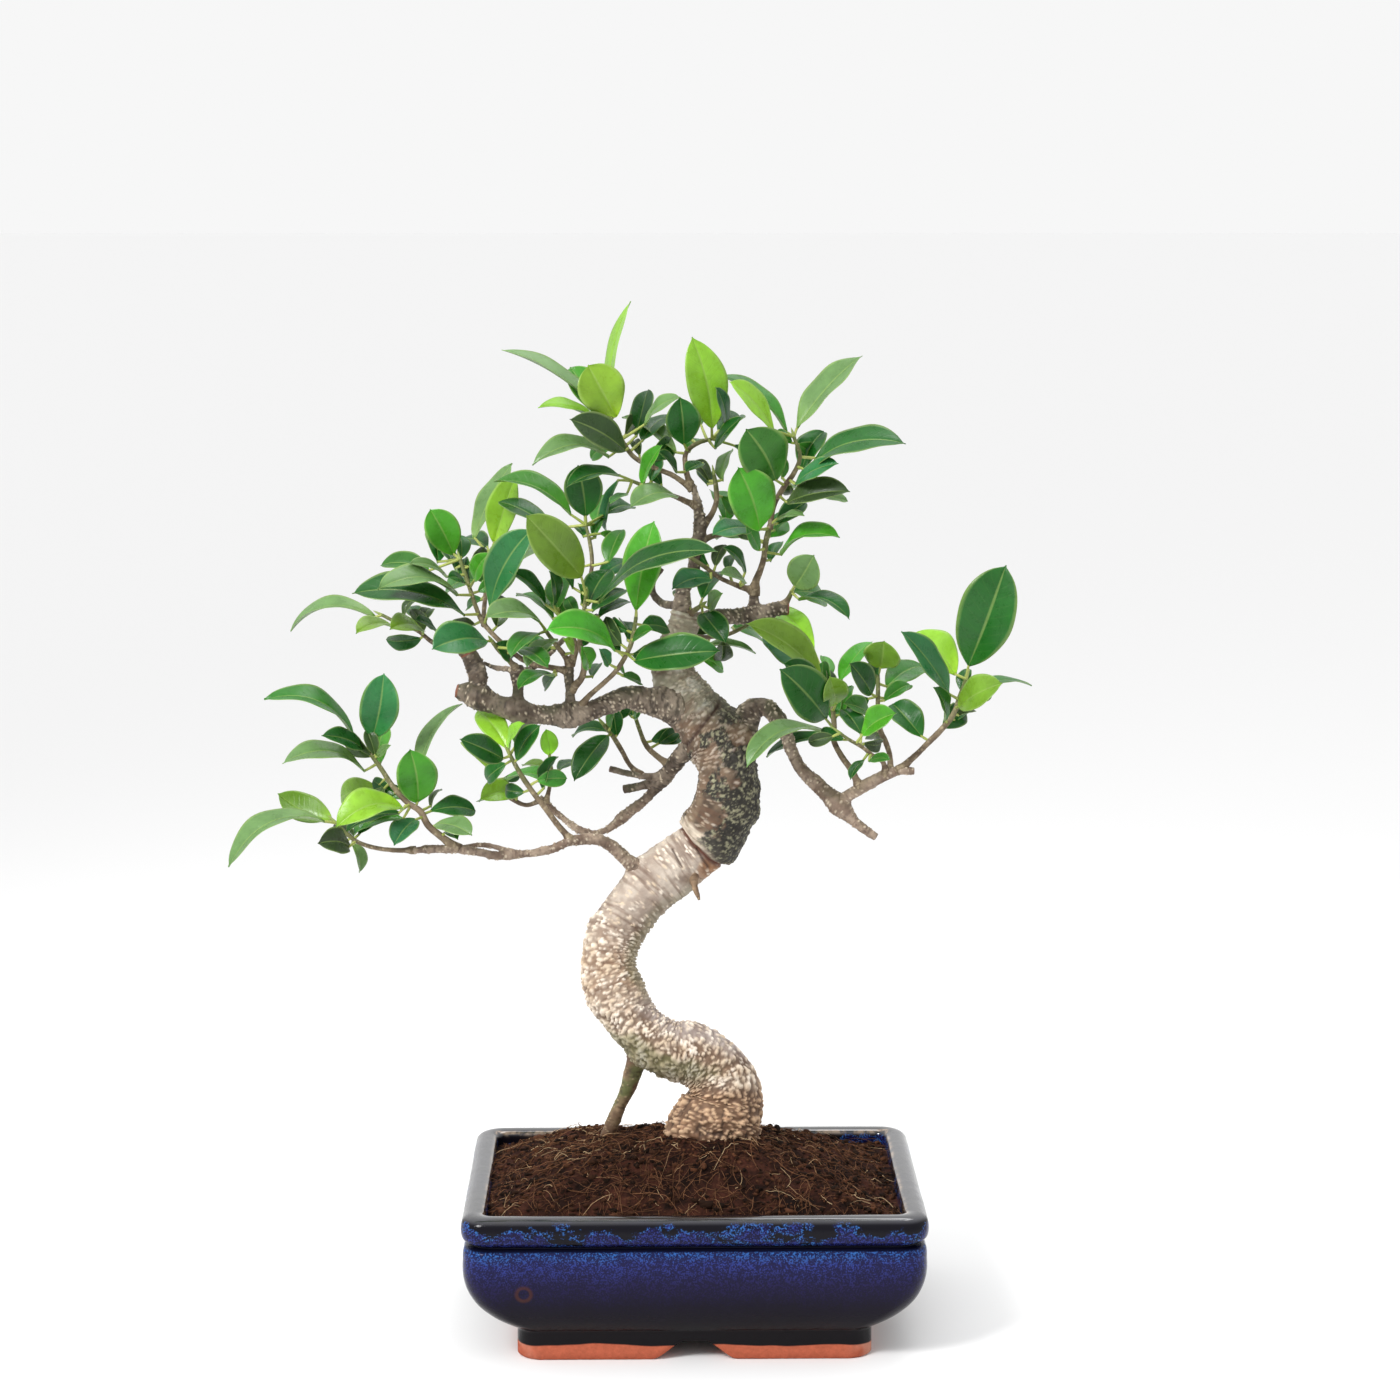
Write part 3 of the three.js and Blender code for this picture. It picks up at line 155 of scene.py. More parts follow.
# A spray is a twig with its leaves. A leaf is
# [blade base x, y, z, blade tip x, y, z, width, turn of the face up from the front in degrees, arch].
SPRAYS = {
    "far_left_rising_spray": {
        "stems": [
            [[-116, -24, 231, 2], [-125, -24, 237, 1.9], [-132, -24, 243, 1.8], [-136, -23, 250, 1.6],
                [-142, -22, 254, 1.4], [-150, -20, 263, 1.3], [-156, -18, 272, 1.2], [-161, -16, 279, 1]],
        ],
        "tones": "mtbdppoldmbpdptnm",
        "leaves": [
            [-169, -18, 288, -214, -26, 306, 20, 66, 10],
            [-160, -14, 286, -154, -20, 319, 19, 5, 3],
            [-156, -8, 273, -153, 2, 292, 13, 38, 2],
            [-164, -16, 281, -185, -34, 288, 12, 45, 3],
            [-163, -18, 270, -205, -30, 274, 18, 64, 9],
            [-158, -17, 277, -151, -27, 283, 5, 40, 1],
            [-157, -14, 262, -176, 2, 256, 13, 20, 3],
            [-144, -27, 251, -178, -42, 242, 19, 42, 8],
            [-146, -22, 249, -173, -24, 240, 12, 55, 4],
            [-144, -18, 246, -171, -8, 236, 13, 60, 5],
            [-137, -22, 254, -141, -28, 281, 20, 8, 2],
            [-137, -16, 268, -115, 2, 304, 14, 62, 4],
            [-131, -22, 250, -108, -14, 250, 13, 40, 3],
            [-129, -24, 243, -110, -40, 238, 13, 46, 3],
            [-138, -28, 246, -149, -45, 233, 13, 32, 2],
            [-131, -20, 252, -125, -12, 261, 5, 60, 2],
            [-123, -27, 240, -117, -36, 236, 6, 40, 1],
        ],
    },
    "far_left_outer_spray": {
        "stems": [
            [[-138, -20, 230.5, 1.5], [-150, -19, 230.5, 1.2], [-160, -17, 232, 1.1], [-168, -15, 235, 1.1],
                [-173, -14, 239, 1], [-178, -13, 244, 0.9]],
        ],
        "tones": "opnp",
        "leaves": [
            [-180, -12, 246, -207, -5, 259, 18, 38, -3],
            [-183, -15, 245, -232, -26, 222, 18, 62, 13],
            [-171, -17, 232, -187, -29, 234, 14, 25, 3],
            [-170, -12, 234, -166, -3, 219, 9, 50, 2],
        ],
    },
    "low_left_rising_spray": {
        "stems": [
            [[-60, -14, 235, 1.8], [-67, -15, 243, 1.5], [-73, -16, 251, 1.4], [-80, -17, 260, 1.3],
                [-86, -18, 269, 1.3], [-91, -18, 278, 1]],
        ],
        "tones": "dlldm",
        "leaves": [
            [-94, -19, 276, -116, -34, 286, 13, 22, 3],
            [-92, -14, 281, -107, 2, 301, 13, 20, 3],
            [-92, -20, 281, -84, -31, 294, 9, 62, 2],
            [-88, -19, 275, -76, -29, 293, 11, 35, 2],
            [-88, -13, 283, -78, 8, 298, 12, 40, 2],
        ],
    },
    "mid_left_outer_spray": {
        "stems": [
            [[-75, 27, 255.5, 1.4], [-83, 28, 253, 1.1], [-90, 29, 256, 1.1], [-97, 30, 261, 1],
                [-99, 31, 268, 0.9]],
        ],
        "tones": "obl",
        "leaves": [
            [-100, 32, 270, -115, 45, 285, 12, 32, 3],
            [-96, 27, 264, -68, 10, 263, 12, 66, 5],
            [-87, 26, 259, -106, 12, 256, 13, 30, 3],
        ],
    },
    "mid_left_inner_spray": {
        "stems": [[[-73, 26, 254, 1.3], [-71, 25, 263, 1], [-70, 24, 269, 0.9], [-71, 23, 275, 0.8]]],
        "tones": "lo",
        "leaves": [
            [-71, 22, 278, -73, 17, 291, 9, 10, 1],
            [-74, 25, 271, -85, 36, 273, 8, 60, 1],
        ],
    },
    "mid_left_near_spray": {
        "stems": [
            [[-25, 9, 267.5, 1.6], [-31, 11, 273, 1.3], [-35, 13, 280, 1.3], [-40, 15, 288, 1.2],
                [-44, 16, 293, 1]],
        ],
        "tones": "ddm",
        "leaves": [
            [-42, 12, 288, -59, 0, 265, 14, 28, 3],
            [-42, 17, 290, -60, 30, 287, 9, 55, 3],
            [-41, 14, 291, -38, 6, 302, 6, 50, 1],
        ],
    },
    "mid_left_upright_spray": {
        "stems": [
            [[-9, 8, 272, 2.2], [-17, 12, 277, 1.5], [-23, 16, 283, 1.3], [-26, 18, 290, 1.1],
                [-28, 18, 296, 1]],
        ],
        "tones": "md",
        "leaves": [
            [-29, 16, 296, -24, 6, 303, 6, 45, 1],
            [-30, 20, 297, -40, 34, 306, 12, 40, 3],
        ],
    },
    "left_outer_spray": {
        "stems": [
            [[-111, -5, 326, 2.4], [-118, -5, 332, 1.5], [-129, -4, 334, 1.2], [-137, -3, 340, 1],
                [-147, -2, 344, 0.9],
                [-155, -1, 348, 0.8]],
        ],
        "tones": "poodd",
        "leaves": [
            [-158, -1, 347, -201, 8, 340, 16, 70, 9],
            [-150, -5, 343, -168, -22, 339, 12, 58, 3],
            [-134, -7, 340, -151, -26, 341, 14, 55, 3],
            [-127, -9, 340, -138, -20, 346, 8, 60, 1],
            [-134, 1, 344, -143, 15, 352, 9, 40, 2],
        ],
    },
    "left_high_spray": {
        "stems": [
            [[-62, -13, 320, 1.8], [-72, -13, 322, 1.4], [-80, -12, 323.5, 1.3], [-88, -11, 328, 1.3],
                [-95, -10, 334, 1.2], [-101, -8, 340, 1.2], [-105, -6, 345, 1.2], [-108, -4, 352, 1.1],
                [-111, -2, 361, 1.1], [-114, 0, 370, 1], [-116, 1, 376, 0.9]],
        ],
        "tones": "dmpbbddpdtmd",
        "leaves": [
            [-113, -10, 348, -170, -26, 359, 24, 58, 8],
            [-131, 6, 370, -156, 12, 373, 14, 50, 3],
            [-117, -9, 358, -157, -34, 361, 17, 62, 8],
            [-119, 2, 378, -131, -4, 401, 17, 8, 2],
            [-109, -9, 365, -101, -22, 379, 10, 35, 2],
            [-127, 10, 374, -131, 22, 390, 12, 35, 2],
            [-118, 4, 371, -127, 16, 382, 9, 55, 2],
            [-122, -5, 367, -141, -22, 374, 9, 66, 3],
            [-113, -8, 364, -122, -20, 367, 7, 50, 1],
            [-101, -16, 352, -80, -30, 391, 20, 32, 4],
            [-69, -16, 318, -87, -30, 311, 12, 62, 4],
            [-68, -10, 318, -74, 2, 311, 7, 40, 1],
        ],
    },
    "left_back_spray": {
        "stems": [
            [[-104, -6, 343, 1.5], [-104, 4, 350, 1.2], [-103, 14, 360, 1.1], [-102, 20, 370, 1],
                [-101, 24, 378, 0.9]],
        ],
        "tones": "plddpm",
        "leaves": [
            [-109, 26, 386, -90, 34, 424, 16, 55, 3],
            [-99, 22, 384, -88, 12, 418, 17, 28, 2],
            [-102, 28, 382, -115, 44, 386, 13, 50, 2],
            [-98, 12, 356, -88, 20, 372, 12, 40, 2],
            [-91, 22, 372, -77, 38, 382, 11, 45, 2],
            [-106, 20, 366, -124, 44, 356, 14, 55, 4],
        ],
    },
    "left_front_spray": {
        "stems": [[[-87, -9, 320, 1.7], [-92, -13, 326, 1.3], [-97, -17, 331, 1.2], [-100, -20, 335, 1]]],
        "tones": "tm",
        "leaves": [
            [-102, -22, 335, -130, -40, 331, 20, 36, 4],
            [-88, -24, 331, -72, -46, 322, 12, 50, 3],
        ],
    },
    "centre_left_spray": {
        "stems": [
            [[-61, -13, 323, 2], [-58, -15, 332, 1.5], [-61, -17, 339, 1.3], [-66, -18, 348, 1]],
            [[-61, -13, 323, 1.8], [-64, -17, 328, 1.3], [-68, -21, 333, 1.2], [-73, -25, 340, 1]],
        ],
        "tones": "mddpmmpl",
        "leaves": [
            [-67, -17, 351, -64, -7, 369, 13, 30, 2],
            [-69, -21, 352, -71, -32, 370, 10, 58, 2],
            [-73, -19, 353, -91, -30, 370, 12, 58, 3],
            [-76, -28, 345, -103, -42, 347, 18, 60, 5],
            [-69, -14, 346, -88, 2, 358, 12, 66, 4],
            [-76, -28, 339, -91, -42, 327, 13, 55, 4],
            [-67, -24, 336, -83, -34, 322, 13, 55, 3],
            [-59, -20, 329, -64, -32, 336, 7, 50, 1],
        ],
    },
    "centre_spray": {
        "stems": [
            [[-60.5, -12, 310, 1.9], [-55, -15, 317, 1.7], [-54, -18, 326, 1.6], [-56, -20, 333, 1.4],
                [-56, -22, 341, 1.3], [-54, -24, 350, 1.2], [-53, -25, 358, 1]],
        ],
        "tones": "odddddbd",
        "leaves": [
            [-55, -30, 367, -83, -48, 398, 22, 15, 5],
            [-59, -22, 361, -79, -30, 388, 13, 48, 3],
            [-47, -28, 354, 13, -54, 380, 20, 60, 11],
            [-52, -21, 353, -41, -8, 371, 14, 30, 2],
            [-50, -25, 350, -33, -10, 361, 11, 50, 2],
            [-47, -19, 347, -31, -2, 355, 9, 48, 2],
            [-51, -18, 321, -55, -32, 332, 10, 35, 1],
            [-50, -12, 317, -46, 0, 324, 6, 40, 1],
        ],
    },
    "centre_high_spray": {
        "stems": [
            [[-54, -24, 351, 1.1], [-52, -14, 362, 1.1], [-50, -8, 374, 1], [-51, -5, 384, 1],
                [-53, -4, 393, 0.8]],
        ],
        "tones": "mddmbmtd",
        "leaves": [
            [-60, -3, 398, -99, 4, 415, 18, 62, 5],
            [-53, -5, 397, -57, -10, 423, 19, 5, 2],
            [-70, 0, 391, -97, 10, 405, 15, 56, 3],
            [-48, 2, 393, -43, 14, 409, 10, 40, 1],
            [-46, -4, 389, -38, 4, 384, 6, 40, 1],
            [-42, -12, 374, -35, -2, 391, 12, 40, 2],
            [-46, -8, 367, -31, 4, 375, 12, 45, 2],
            [-44, 4, 398, -29, 16, 402, 12, 50, 3],
        ],
    },
    "centre_front_spray": {
        "stems": [
            [[-58, -12, 300, 2], [-51, -16, 308, 1.4], [-43, -19, 315, 1.3], [-38, -21, 320, 1.3],
                [-34, -22, 326, 1.2],
                [-31, -23, 332, 1.2], [-29, -24, 340, 1.1], [-28, -24, 347, 0.9]],
        ],
        "tones": "bbddmdtm",
        "leaves": [
            [-28, -25, 350, -19, -30, 395, 21, 30, 3],
            [-38, -27, 330, -73, -46, 341, 19, 42, 6],
            [-36, -18, 329, -53, -2, 345, 13, 50, 3],
            [-29, -30, 325, 14, -42, 330, 20, 30, 5],
            [-30, -28, 335, -20, -42, 341, 8, 50, 1],
            [-25, -19, 343, -11, -6, 341, 11, 40, 1],
            [-41, -24, 323, -46, -36, 331, 7, 35, 1],
            [-35, -18, 318, -25, -6, 314, 7, 50, 1],
        ],
    },
    "hub_spray": {
        "stems": [
            [[-2, 2, 346, 2.4], [1, -4, 350, 1.6], [5, -7, 353, 1.1]],
        ],
        "tones": "ddp",
        "leaves": [
            [5, -3, 356, 13, 12, 370, 12, 35, 2],
            [5, -10, 349, 17, -24, 334, 14, 22, 3],
            [8, -9, 351, 15, -20, 359, 10, 45, 1],
        ],
    },
    "hub_under_spray": {
        "stems": [
            [[-2, 5, 337, 1.8], [9, 10, 337, 1.1], [17, 12, 338, 1], [28, 13, 343, 0.8]],
        ],
        "tones": "pbm",
        "leaves": [
            [7, 14, 333, 32, 26, 329, 8, 66, 2],
            [1, 16, 330, 16, 26, 320, 9, 45, 2],
            [20, 16, 342, 34, 40, 336, 13, 55, 3],
        ],
    },
    "upper_inner_spray": {
        "stems": [
            [[31, 8, 360, 1.9], [22, 5, 363, 1.3], [15, 0, 366, 1.2], [5, -7, 373, 1.1], [-6, -10, 380, 0.9]],
        ],
        "tones": "tddp",
        "leaves": [
            [10, -7, 366, -10, -18, 361, 14, 45, 3],
            [27, 3, 369, 16, -6, 382, 10, 60, 2],
            [18, 8, 370, 23, 18, 379, 8, 50, 1],
            [27, 1, 364, 14, -16, 369, 9, 58, 2],
        ],
    },
    "upper_right_spray": {
        "stems": [
            [[31, 8, 358, 2.4], [32, 7, 365, 1.9], [34, 6, 370, 1.6], [36, 4, 377, 1.5], [37, 2, 385, 1.4],
                [39, 0, 393, 1.3]],
        ],
        "tones": "btmmdbdp",
        "leaves": [
            [34, -6, 390, 23, -17, 422, 24, 18, 3],
            [30, -4, 391, 10, -16, 388, 14, 50, 3],
            [31, 6, 386, 12, 20, 386, 12, 60, 3],
            [34, -1, 380, 27, -12, 393, 9, 45, 1],
            [39, 6, 375, 45, 16, 385, 8, 45, 1],
            [44, 2, 378, 74, -10, 387, 16, 66, 7],
            [41, 2, 390, 45, 10, 400, 6, 50, 1],
            [42, -3, 396, 56, -14, 398, 6, 60, 1],
        ],
    },
    "upper_right_end_spray": {
        "stems": [[[43, 10, 351, 1.8], [48, 10, 356, 1.3], [50, 8, 360, 1]]],
        "tones": "pdm",
        "leaves": [
            [51, 2, 362, 61, -8, 378, 17, 10, 2],
            [53, 6, 356, 79, -6, 346, 13, 62, 5],
            [50, 15, 360, 66, 36, 356, 15, 40, 3],
        ],
    },
    "apex_left_spray": {
        "stems": [
            [[0, 0, 411, 1.7], [-10, -3, 418, 1.3], [-20, -6, 422, 1.2], [-29, -8, 427, 1.2],
                [-36, -9, 437, 1.1],
                [-41, -10, 446, 0.9]],
        ],
        "tones": "llpblnmpddp",
        "leaves": [
            [-42, -10, 450, -31, -4, 505, 18, 74, 3],
            [-38, -13, 447, -52, -17, 473, 23, 8, 3],
            [-44, -7, 449, -95, -1, 481, 16, 72, 4],
            [-46, -2, 447, -61, 6, 472, 19, 32, 2],
            [-47, -13, 445, -77, -22, 452, 12, 68, 4],
            [-33, -12, 430, -61, -26, 446, 17, 28, 3],
            [-35, -5, 431, -53, 8, 434, 9, 62, 2],
            [-41, -15, 427, -80, -27, 423, 16, 62, 9],
            [-28, -4, 437, -22, 8, 461, 12, 35, 2],
            [-25, -2, 435, -11, 14, 448, 12, 48, 2],
            [-24, -12, 443, -6, -26, 457, 10, 58, 3],
        ],
    },
    "apex_low_left_spray": {
        "stems": [[[3, -2, 402, 1.8], [-8, -5, 407, 1.3], [-20, -8, 411, 1.2], [-30, -9, 415, 0.9]]],
        "tones": "dtmbdp",
        "leaves": [
            [-36, -14, 418, -63, -28, 412, 13, 58, 4],
            [-37, -3, 416, -43, 8, 389, 9, 58, 3],
            [-32, -15, 409, -41, -26, 404, 6, 60, 1],
            [-25, -13, 413, -15, -26, 433, 10, 50, 2],
            [-20, -2, 416, -12, 12, 430, 10, 50, 2],
            [-7, -11, 407, -31, -26, 402, 16, 56, 5],
        ],
    },
    "apex_top_spray": {
        "stems": [
            [[0, 0, 410, 1.9], [-3, 1, 421, 1.3], [-3, 2, 429, 1.2], [3, 3, 434, 1.1], [10, 4, 436, 0.9]],
        ],
        "tones": "pddltddddd",
        "leaves": [
            [-8, 1, 429, -35, 14, 447, 14, 60, 4],
            [-4, -1, 433, -6, -8, 457, 17, 8, 2],
            [-7, -3, 419, -17, -14, 430, 8, 60, 1],
            [10, 1, 441, 0, -6, 487, 20, 15, 3],
            [17, 0, 441, 12, -10, 462, 11, 60, 2],
            [4, 10, 443, 16, 24, 454, 9, 60, 2],
            [11, -2, 431, 25, -12, 447, 11, 60, 2],
            [13, 12, 440, 24, 30, 448, 12, 40, 2],
            [21, 8, 433, 33, 20, 420, 9, 50, 2],
            [6, -5, 424, -3, -16, 420, 8, 50, 1],
        ],
    },
    "apex_right_spray": {
        "stems": [
            [[39, 0, 391, 1.5], [41, -2, 403, 1.4], [46, -4, 412, 1.4], [51, -5, 419, 1.3],
                [54, -6, 427, 1.1],
                [51, -5, 437, 0.9]],
        ],
        "tones": "mddltnppmlp",
        "leaves": [
            [42, -8, 415, 27, -18, 441, 25, 12, 2],
            [55, -1, 421, 66, 10, 440, 14, 30, 2],
            [57, -9, 420, 107, -24, 434, 22, 60, 9],
            [66, 0, 426, 90, 12, 433, 13, 64, 3],
            [51, -9, 413, 73, -24, 424, 13, 55, 3],
            [47, -8, 404, 79, -20, 410, 17, 48, 4],
            [62, 4, 408, 78, 12, 405, 8, 50, 1],
            [44, 0, 409, 54, 12, 412, 6, 60, 1],
            [48, -2, 439, 12, 8, 468, 14, 66, 5],
            [41, -9, 440, 19, -20, 465, 16, 55, 3],
            [52, -3, 441, 85, 8, 478, 19, 54, 3],
        ],
    },
    "apex_side_spray": {
        "stems": [
            [[3, -2, 384, 2.2], [9, 2, 387, 1.5], [16, 5, 389, 1.3], [25, 8, 394, 1]],
        ],
        "tones": "md",
        "leaves": [
            [17, 9, 394, 10, 26, 410, 14, 40, 3],
            [26, 12, 398, 38, 30, 412, 15, 40, 3],
        ],
    },
    "apex_inner_spray": {
        "stems": [
            [[4, -2, 392, 2.4], [9, 0, 397, 1.5], [12, 1, 404, 1.3], [12, 2, 412, 1.2], [11, 3, 418, 0.9]],
        ],
        "tones": "pd",
        "leaves": [
            [15, 4, 415, 20, 14, 431, 10, 55, 2],
            [8, 5, 413, 4, 14, 421, 8, 30, 1],
        ],
    },
    "right_end_spray": {
        "stems": [
            [[102, -20, 269.5, 2], [112, -20, 278, 1.5], [118, -19, 284, 1.4], [124, -18, 290, 1.4],
                [131, -17, 299, 1.3],
                [134, -16, 308, 1.1], [137, -15, 316, 0.9]],
        ],
        "tones": "dltomddd",
        "leaves": [
            [138, -17, 322, 157, -30, 373, 29, 15, 4],
            [132, -11, 318, 111, -3, 339, 19, 25, 3],
            [129, -20, 308, 105, -38, 340, 17, 48, 3],
            [133, -20, 302, 155, -36, 314, 17, 32, 3],
            [136, -11, 305, 170, 2, 313, 12, 70, 6],
            [127, -21, 295, 121, -33, 312, 10, 58, 2],
            [131, -13, 295, 140, -3, 302, 8, 50, 1],
            [115, -13, 287, 100, -4, 304, 16, 28, 2],
        ],
    },
    "right_middle_spray": {
        "stems": [
            [[99, -19, 268, 2], [99, -15, 277, 1.4], [97, -10, 284, 1.4], [94, -4, 291, 1.3],
                [93, 0, 300, 1.3],
                [93, 4, 310, 1.1], [93, 8, 318, 0.9]],
        ],
        "tones": "omdm",
        "leaves": [
            [94, 8, 321, 96, 2, 335, 18, 10, 1],
            [89, -4, 298, 76, -18, 304, 12, 45, 2],
            [90, 1, 308, 79, -10, 324, 14, 35, 2],
            [97, 8, 312, 116, 28, 322, 16, 40, 4],
        ],
    },
    "right_inner_spray": {
        "stems": [
            [[84, -17, 261, 2], [80, -16, 270, 1.7], [75, -13, 277, 1.6], [71, -10, 285, 1.5],
                [71, -6, 294, 1.4],
                [70, -3, 303, 1.3], [68, 0, 312, 1]],
        ],
        "tones": "bbooltddmpd",
        "leaves": [
            [74, 2, 315, 90, 14, 335, 13, 50, 2],
            [69, 4, 317, 65, 14, 328, 7, 40, 1],
            [72, -9, 303, 69, -24, 317, 14, 20, 2],
            [65, -4, 315, 27, -20, 344, 20, 45, 4],
            [61, 8, 331, 38, 20, 352, 14, 42, 3],
            [61, 2, 317, 35, 12, 339, 18, 38, 3],
            [65, -8, 311, 46, -24, 324, 14, 30, 2],
            [67, -14, 296, 44, -32, 321, 24, 25, 4],
            [75, -5, 298, 80, 4, 313, 10, 45, 2],
            [67, -17, 290, 27, -36, 272, 18, 62, 9],
            [69, -5, 288, 37, 10, 277, 11, 60, 3],
        ],
    },
    "right_small_spray": {
        "stems": [
            [[97, -19, 267, 1.8], [95, -23, 275, 1.2], [90, -25, 278, 1.1], [85, -26, 282, 1],
                [78, -28, 286, 0.9],
                [74, -29, 289, 0.8]],
        ],
        "tones": "bddm",
        "leaves": [
            [85, -28, 288, 102, -40, 299, 15, 38, 2],
            [85, -22, 288, 75, -14, 301, 12, 40, 2],
            [86, -26, 276, 79, -36, 266, 6, 40, 1],
            [88, -29, 275, 99, -40, 276, 6, 40, 1],
        ],
    },
}


# Leaf colours by the letter of a leaf's tone: upper side, linear light.
TONES = {
    "d": (0.013, 0.105, 0.012),
    "m": (0.038, 0.190, 0.018),
    "b": (0.065, 0.310, 0.018),
    "l": (0.260, 0.530, 0.035),
    "p": (0.140, 0.270, 0.085),
    "o": (0.165, 0.310, 0.028),
    "t": (0.026, 0.165, 0.048),
    "n": (0.040, 0.080, 0.022),
}

# ------------------------------------------------------------------ numbers that look random

rng = np.random.default_rng(11)


def lattice(ix, iy, iz, seed):
    """A fixed number from -1 to 1 for each whole-number place, by mixing its bits."""
    mask = 0xFFFFFFFF
    n = (ix * 374761393 + iy * 668265263 + iz * 1440662683 + seed * 1274126177) & mask
    n = ((n ^ (n >> 13)) * 1274126177) & mask
    n = ((n ^ (n >> 15)) * 97586713) & mask
    return ((n ^ (n >> 16)) & 0xFFFF) / 32767.5 - 1


def noise(points, size, seed=0):
    """Smooth noise from -1 to 1: lattice numbers at the corners of a cell, eased between them."""
    scaled = np.asarray(points, float) / np.asarray(size, float)
    whole = np.floor(scaled).astype(np.int64)
    share = scaled - whole
    share = share * share * (3 - 2 * share)
    total = 0
    for dx in (0, 1):
        for dy in (0, 1):
            for dz in (0, 1):
                weight = (
                    np.where(dx, share[..., 0], 1 - share[..., 0])
                    * np.where(dy, share[..., 1], 1 - share[..., 1])
                    * np.where(dz, share[..., 2], 1 - share[..., 2])
                )
                corner = lattice(whole[..., 0] + dx, whole[..., 1] + dy, whole[..., 2] + dz, seed)
                total = total + weight * corner
    return total


def layered_noise(points, size, octaves=4, seed=0, keep=0.5):
    """Noise summed over octaves, each half the size and keep times the height of the last."""
    points = np.asarray(points, float)
    total = sum(noise(points, np.asarray(size) / 2 ** k, seed + k) * keep ** k for k in range(octaves))
    return total / sum(keep ** k for k in range(octaves))


def cells(points, size, seed=0):
    """Distance to the nearest of the jittered points, one in each cell, in cell sizes, and that
    point's own fixed number from 0 to 1."""
    scaled = np.asarray(points, float) / np.asarray(size, float)
    whole = np.floor(scaled).astype(np.int64)
    nearest = np.full(scaled.shape[:-1], 9.0)
    number = np.zeros(scaled.shape[:-1])
    for dx in (-1, 0, 1):
        for dy in (-1, 0, 1):
            for dz in (-1, 0, 1):
                cell = whole + [dx, dy, dz]
                place_in = [lattice(cell[..., 0], cell[..., 1], cell[..., 2], seed + k) * 0.45 + 0.5
                            for k in range(3)]
                away = np.linalg.norm(cell + np.stack(place_in, axis=-1) - scaled, axis=-1)
                own = lattice(cell[..., 0], cell[..., 1], cell[..., 2], seed + 7) / 2 + 0.5
                number = np.where(away < nearest, own, number)
                nearest = np.minimum(nearest, away)
    return nearest, number


def step(low, high, value):
    """0 below low, 1 above high and an eased rise between them."""
    share = np.clip((value - low) / (high - low), 0, 1)
    return share * share * (3 - 2 * share)


def blend(a, b, share):
    """Colours a and b mixed by a share for each point."""
    share = np.asarray(share)[..., None]
    return np.asarray(a) * (1 - share) + np.asarray(b) * share


def mottled(points, dark, light, size, octaves, seed, low=-0.5, high=0.5, keep=0.5):
    """Two colours mixed by noise of the size: dark where it is below low, light above high."""
    return blend(dark, light, step(low, high, layered_noise(points, size, octaves, seed, keep)))


# ------------------------------------------------------------------ meshes


def sight_axes():
    """Directions to the right, ahead and up as seen along the line of sight."""
    down, right = math.radians(SIGHT["down"]), math.radians(SIGHT["right"])
    across = np.array([math.cos(right), -math.sin(right), 0])
    ahead = np.array([math.sin(right) * math.cos(down), math.cos(right) * math.cos(down), -math.sin(down)])
    return across, ahead, np.cross(across, ahead)


def place(points):
    """Drawn points in the pot's own frame: each is moved along its line of sight to its own depth."""
    across, ahead, upward = sight_axes()
    lines = (ahead * SIGHT["reach"] + across * (points[..., 0:1] - SIGHT["x"])
             + upward * (points[..., 2:3] - SIGHT["z"]))
    share = (points[..., 1:2] - SIGHT["from"][1]) / lines[..., 1:2]
    return np.array(SIGHT["from"]) + lines * share


def drawn(rows):
    """Rows of a list with their depth spread from front to back."""
    rows = np.array(rows, float)
    rows[..., 1] *= SPREAD
    return rows


def grid_faces(rows, columns, wrap=False):
    """The quads of a grid of points, counted row by row; with wrap the last column meets the first."""
    last = columns if wrap else columns - 1
    i, k = np.meshgrid(np.arange(rows - 1), np.arange(last), indexing="ij")
    right = (k + 1) % columns
    quads = np.stack([i * columns + k, i * columns + right, (i + 1) * columns + right,
                      (i + 1) * columns + k], axis=-1)
    return quads.reshape(-1, 4)


def fan_faces(ring_start, count, centre, flip=False):
    """Triangles from a ring of points to one point at its middle."""
    k = np.arange(count)
    tri = np.stack([ring_start + k, ring_start + (k + 1) % count, np.full(count, centre)], axis=-1)
    return tri[:, ::-1] if flip else tri


def closed_rings(rings, first, last):
    """A stack of rings as points, quads and triangles, closed on a point at each end."""
    rows, sides = rings.shape[:2]
    points = np.concatenate([rings.reshape(-1, 3), [first, last]])
    triangles = np.concatenate([
        fan_faces(0, sides, rows * sides, flip=True),
        fan_faces((rows - 1) * sides, sides, rows * sides + 1),
    ])
    return points, grid_faces(rows, sides, wrap=True), triangles


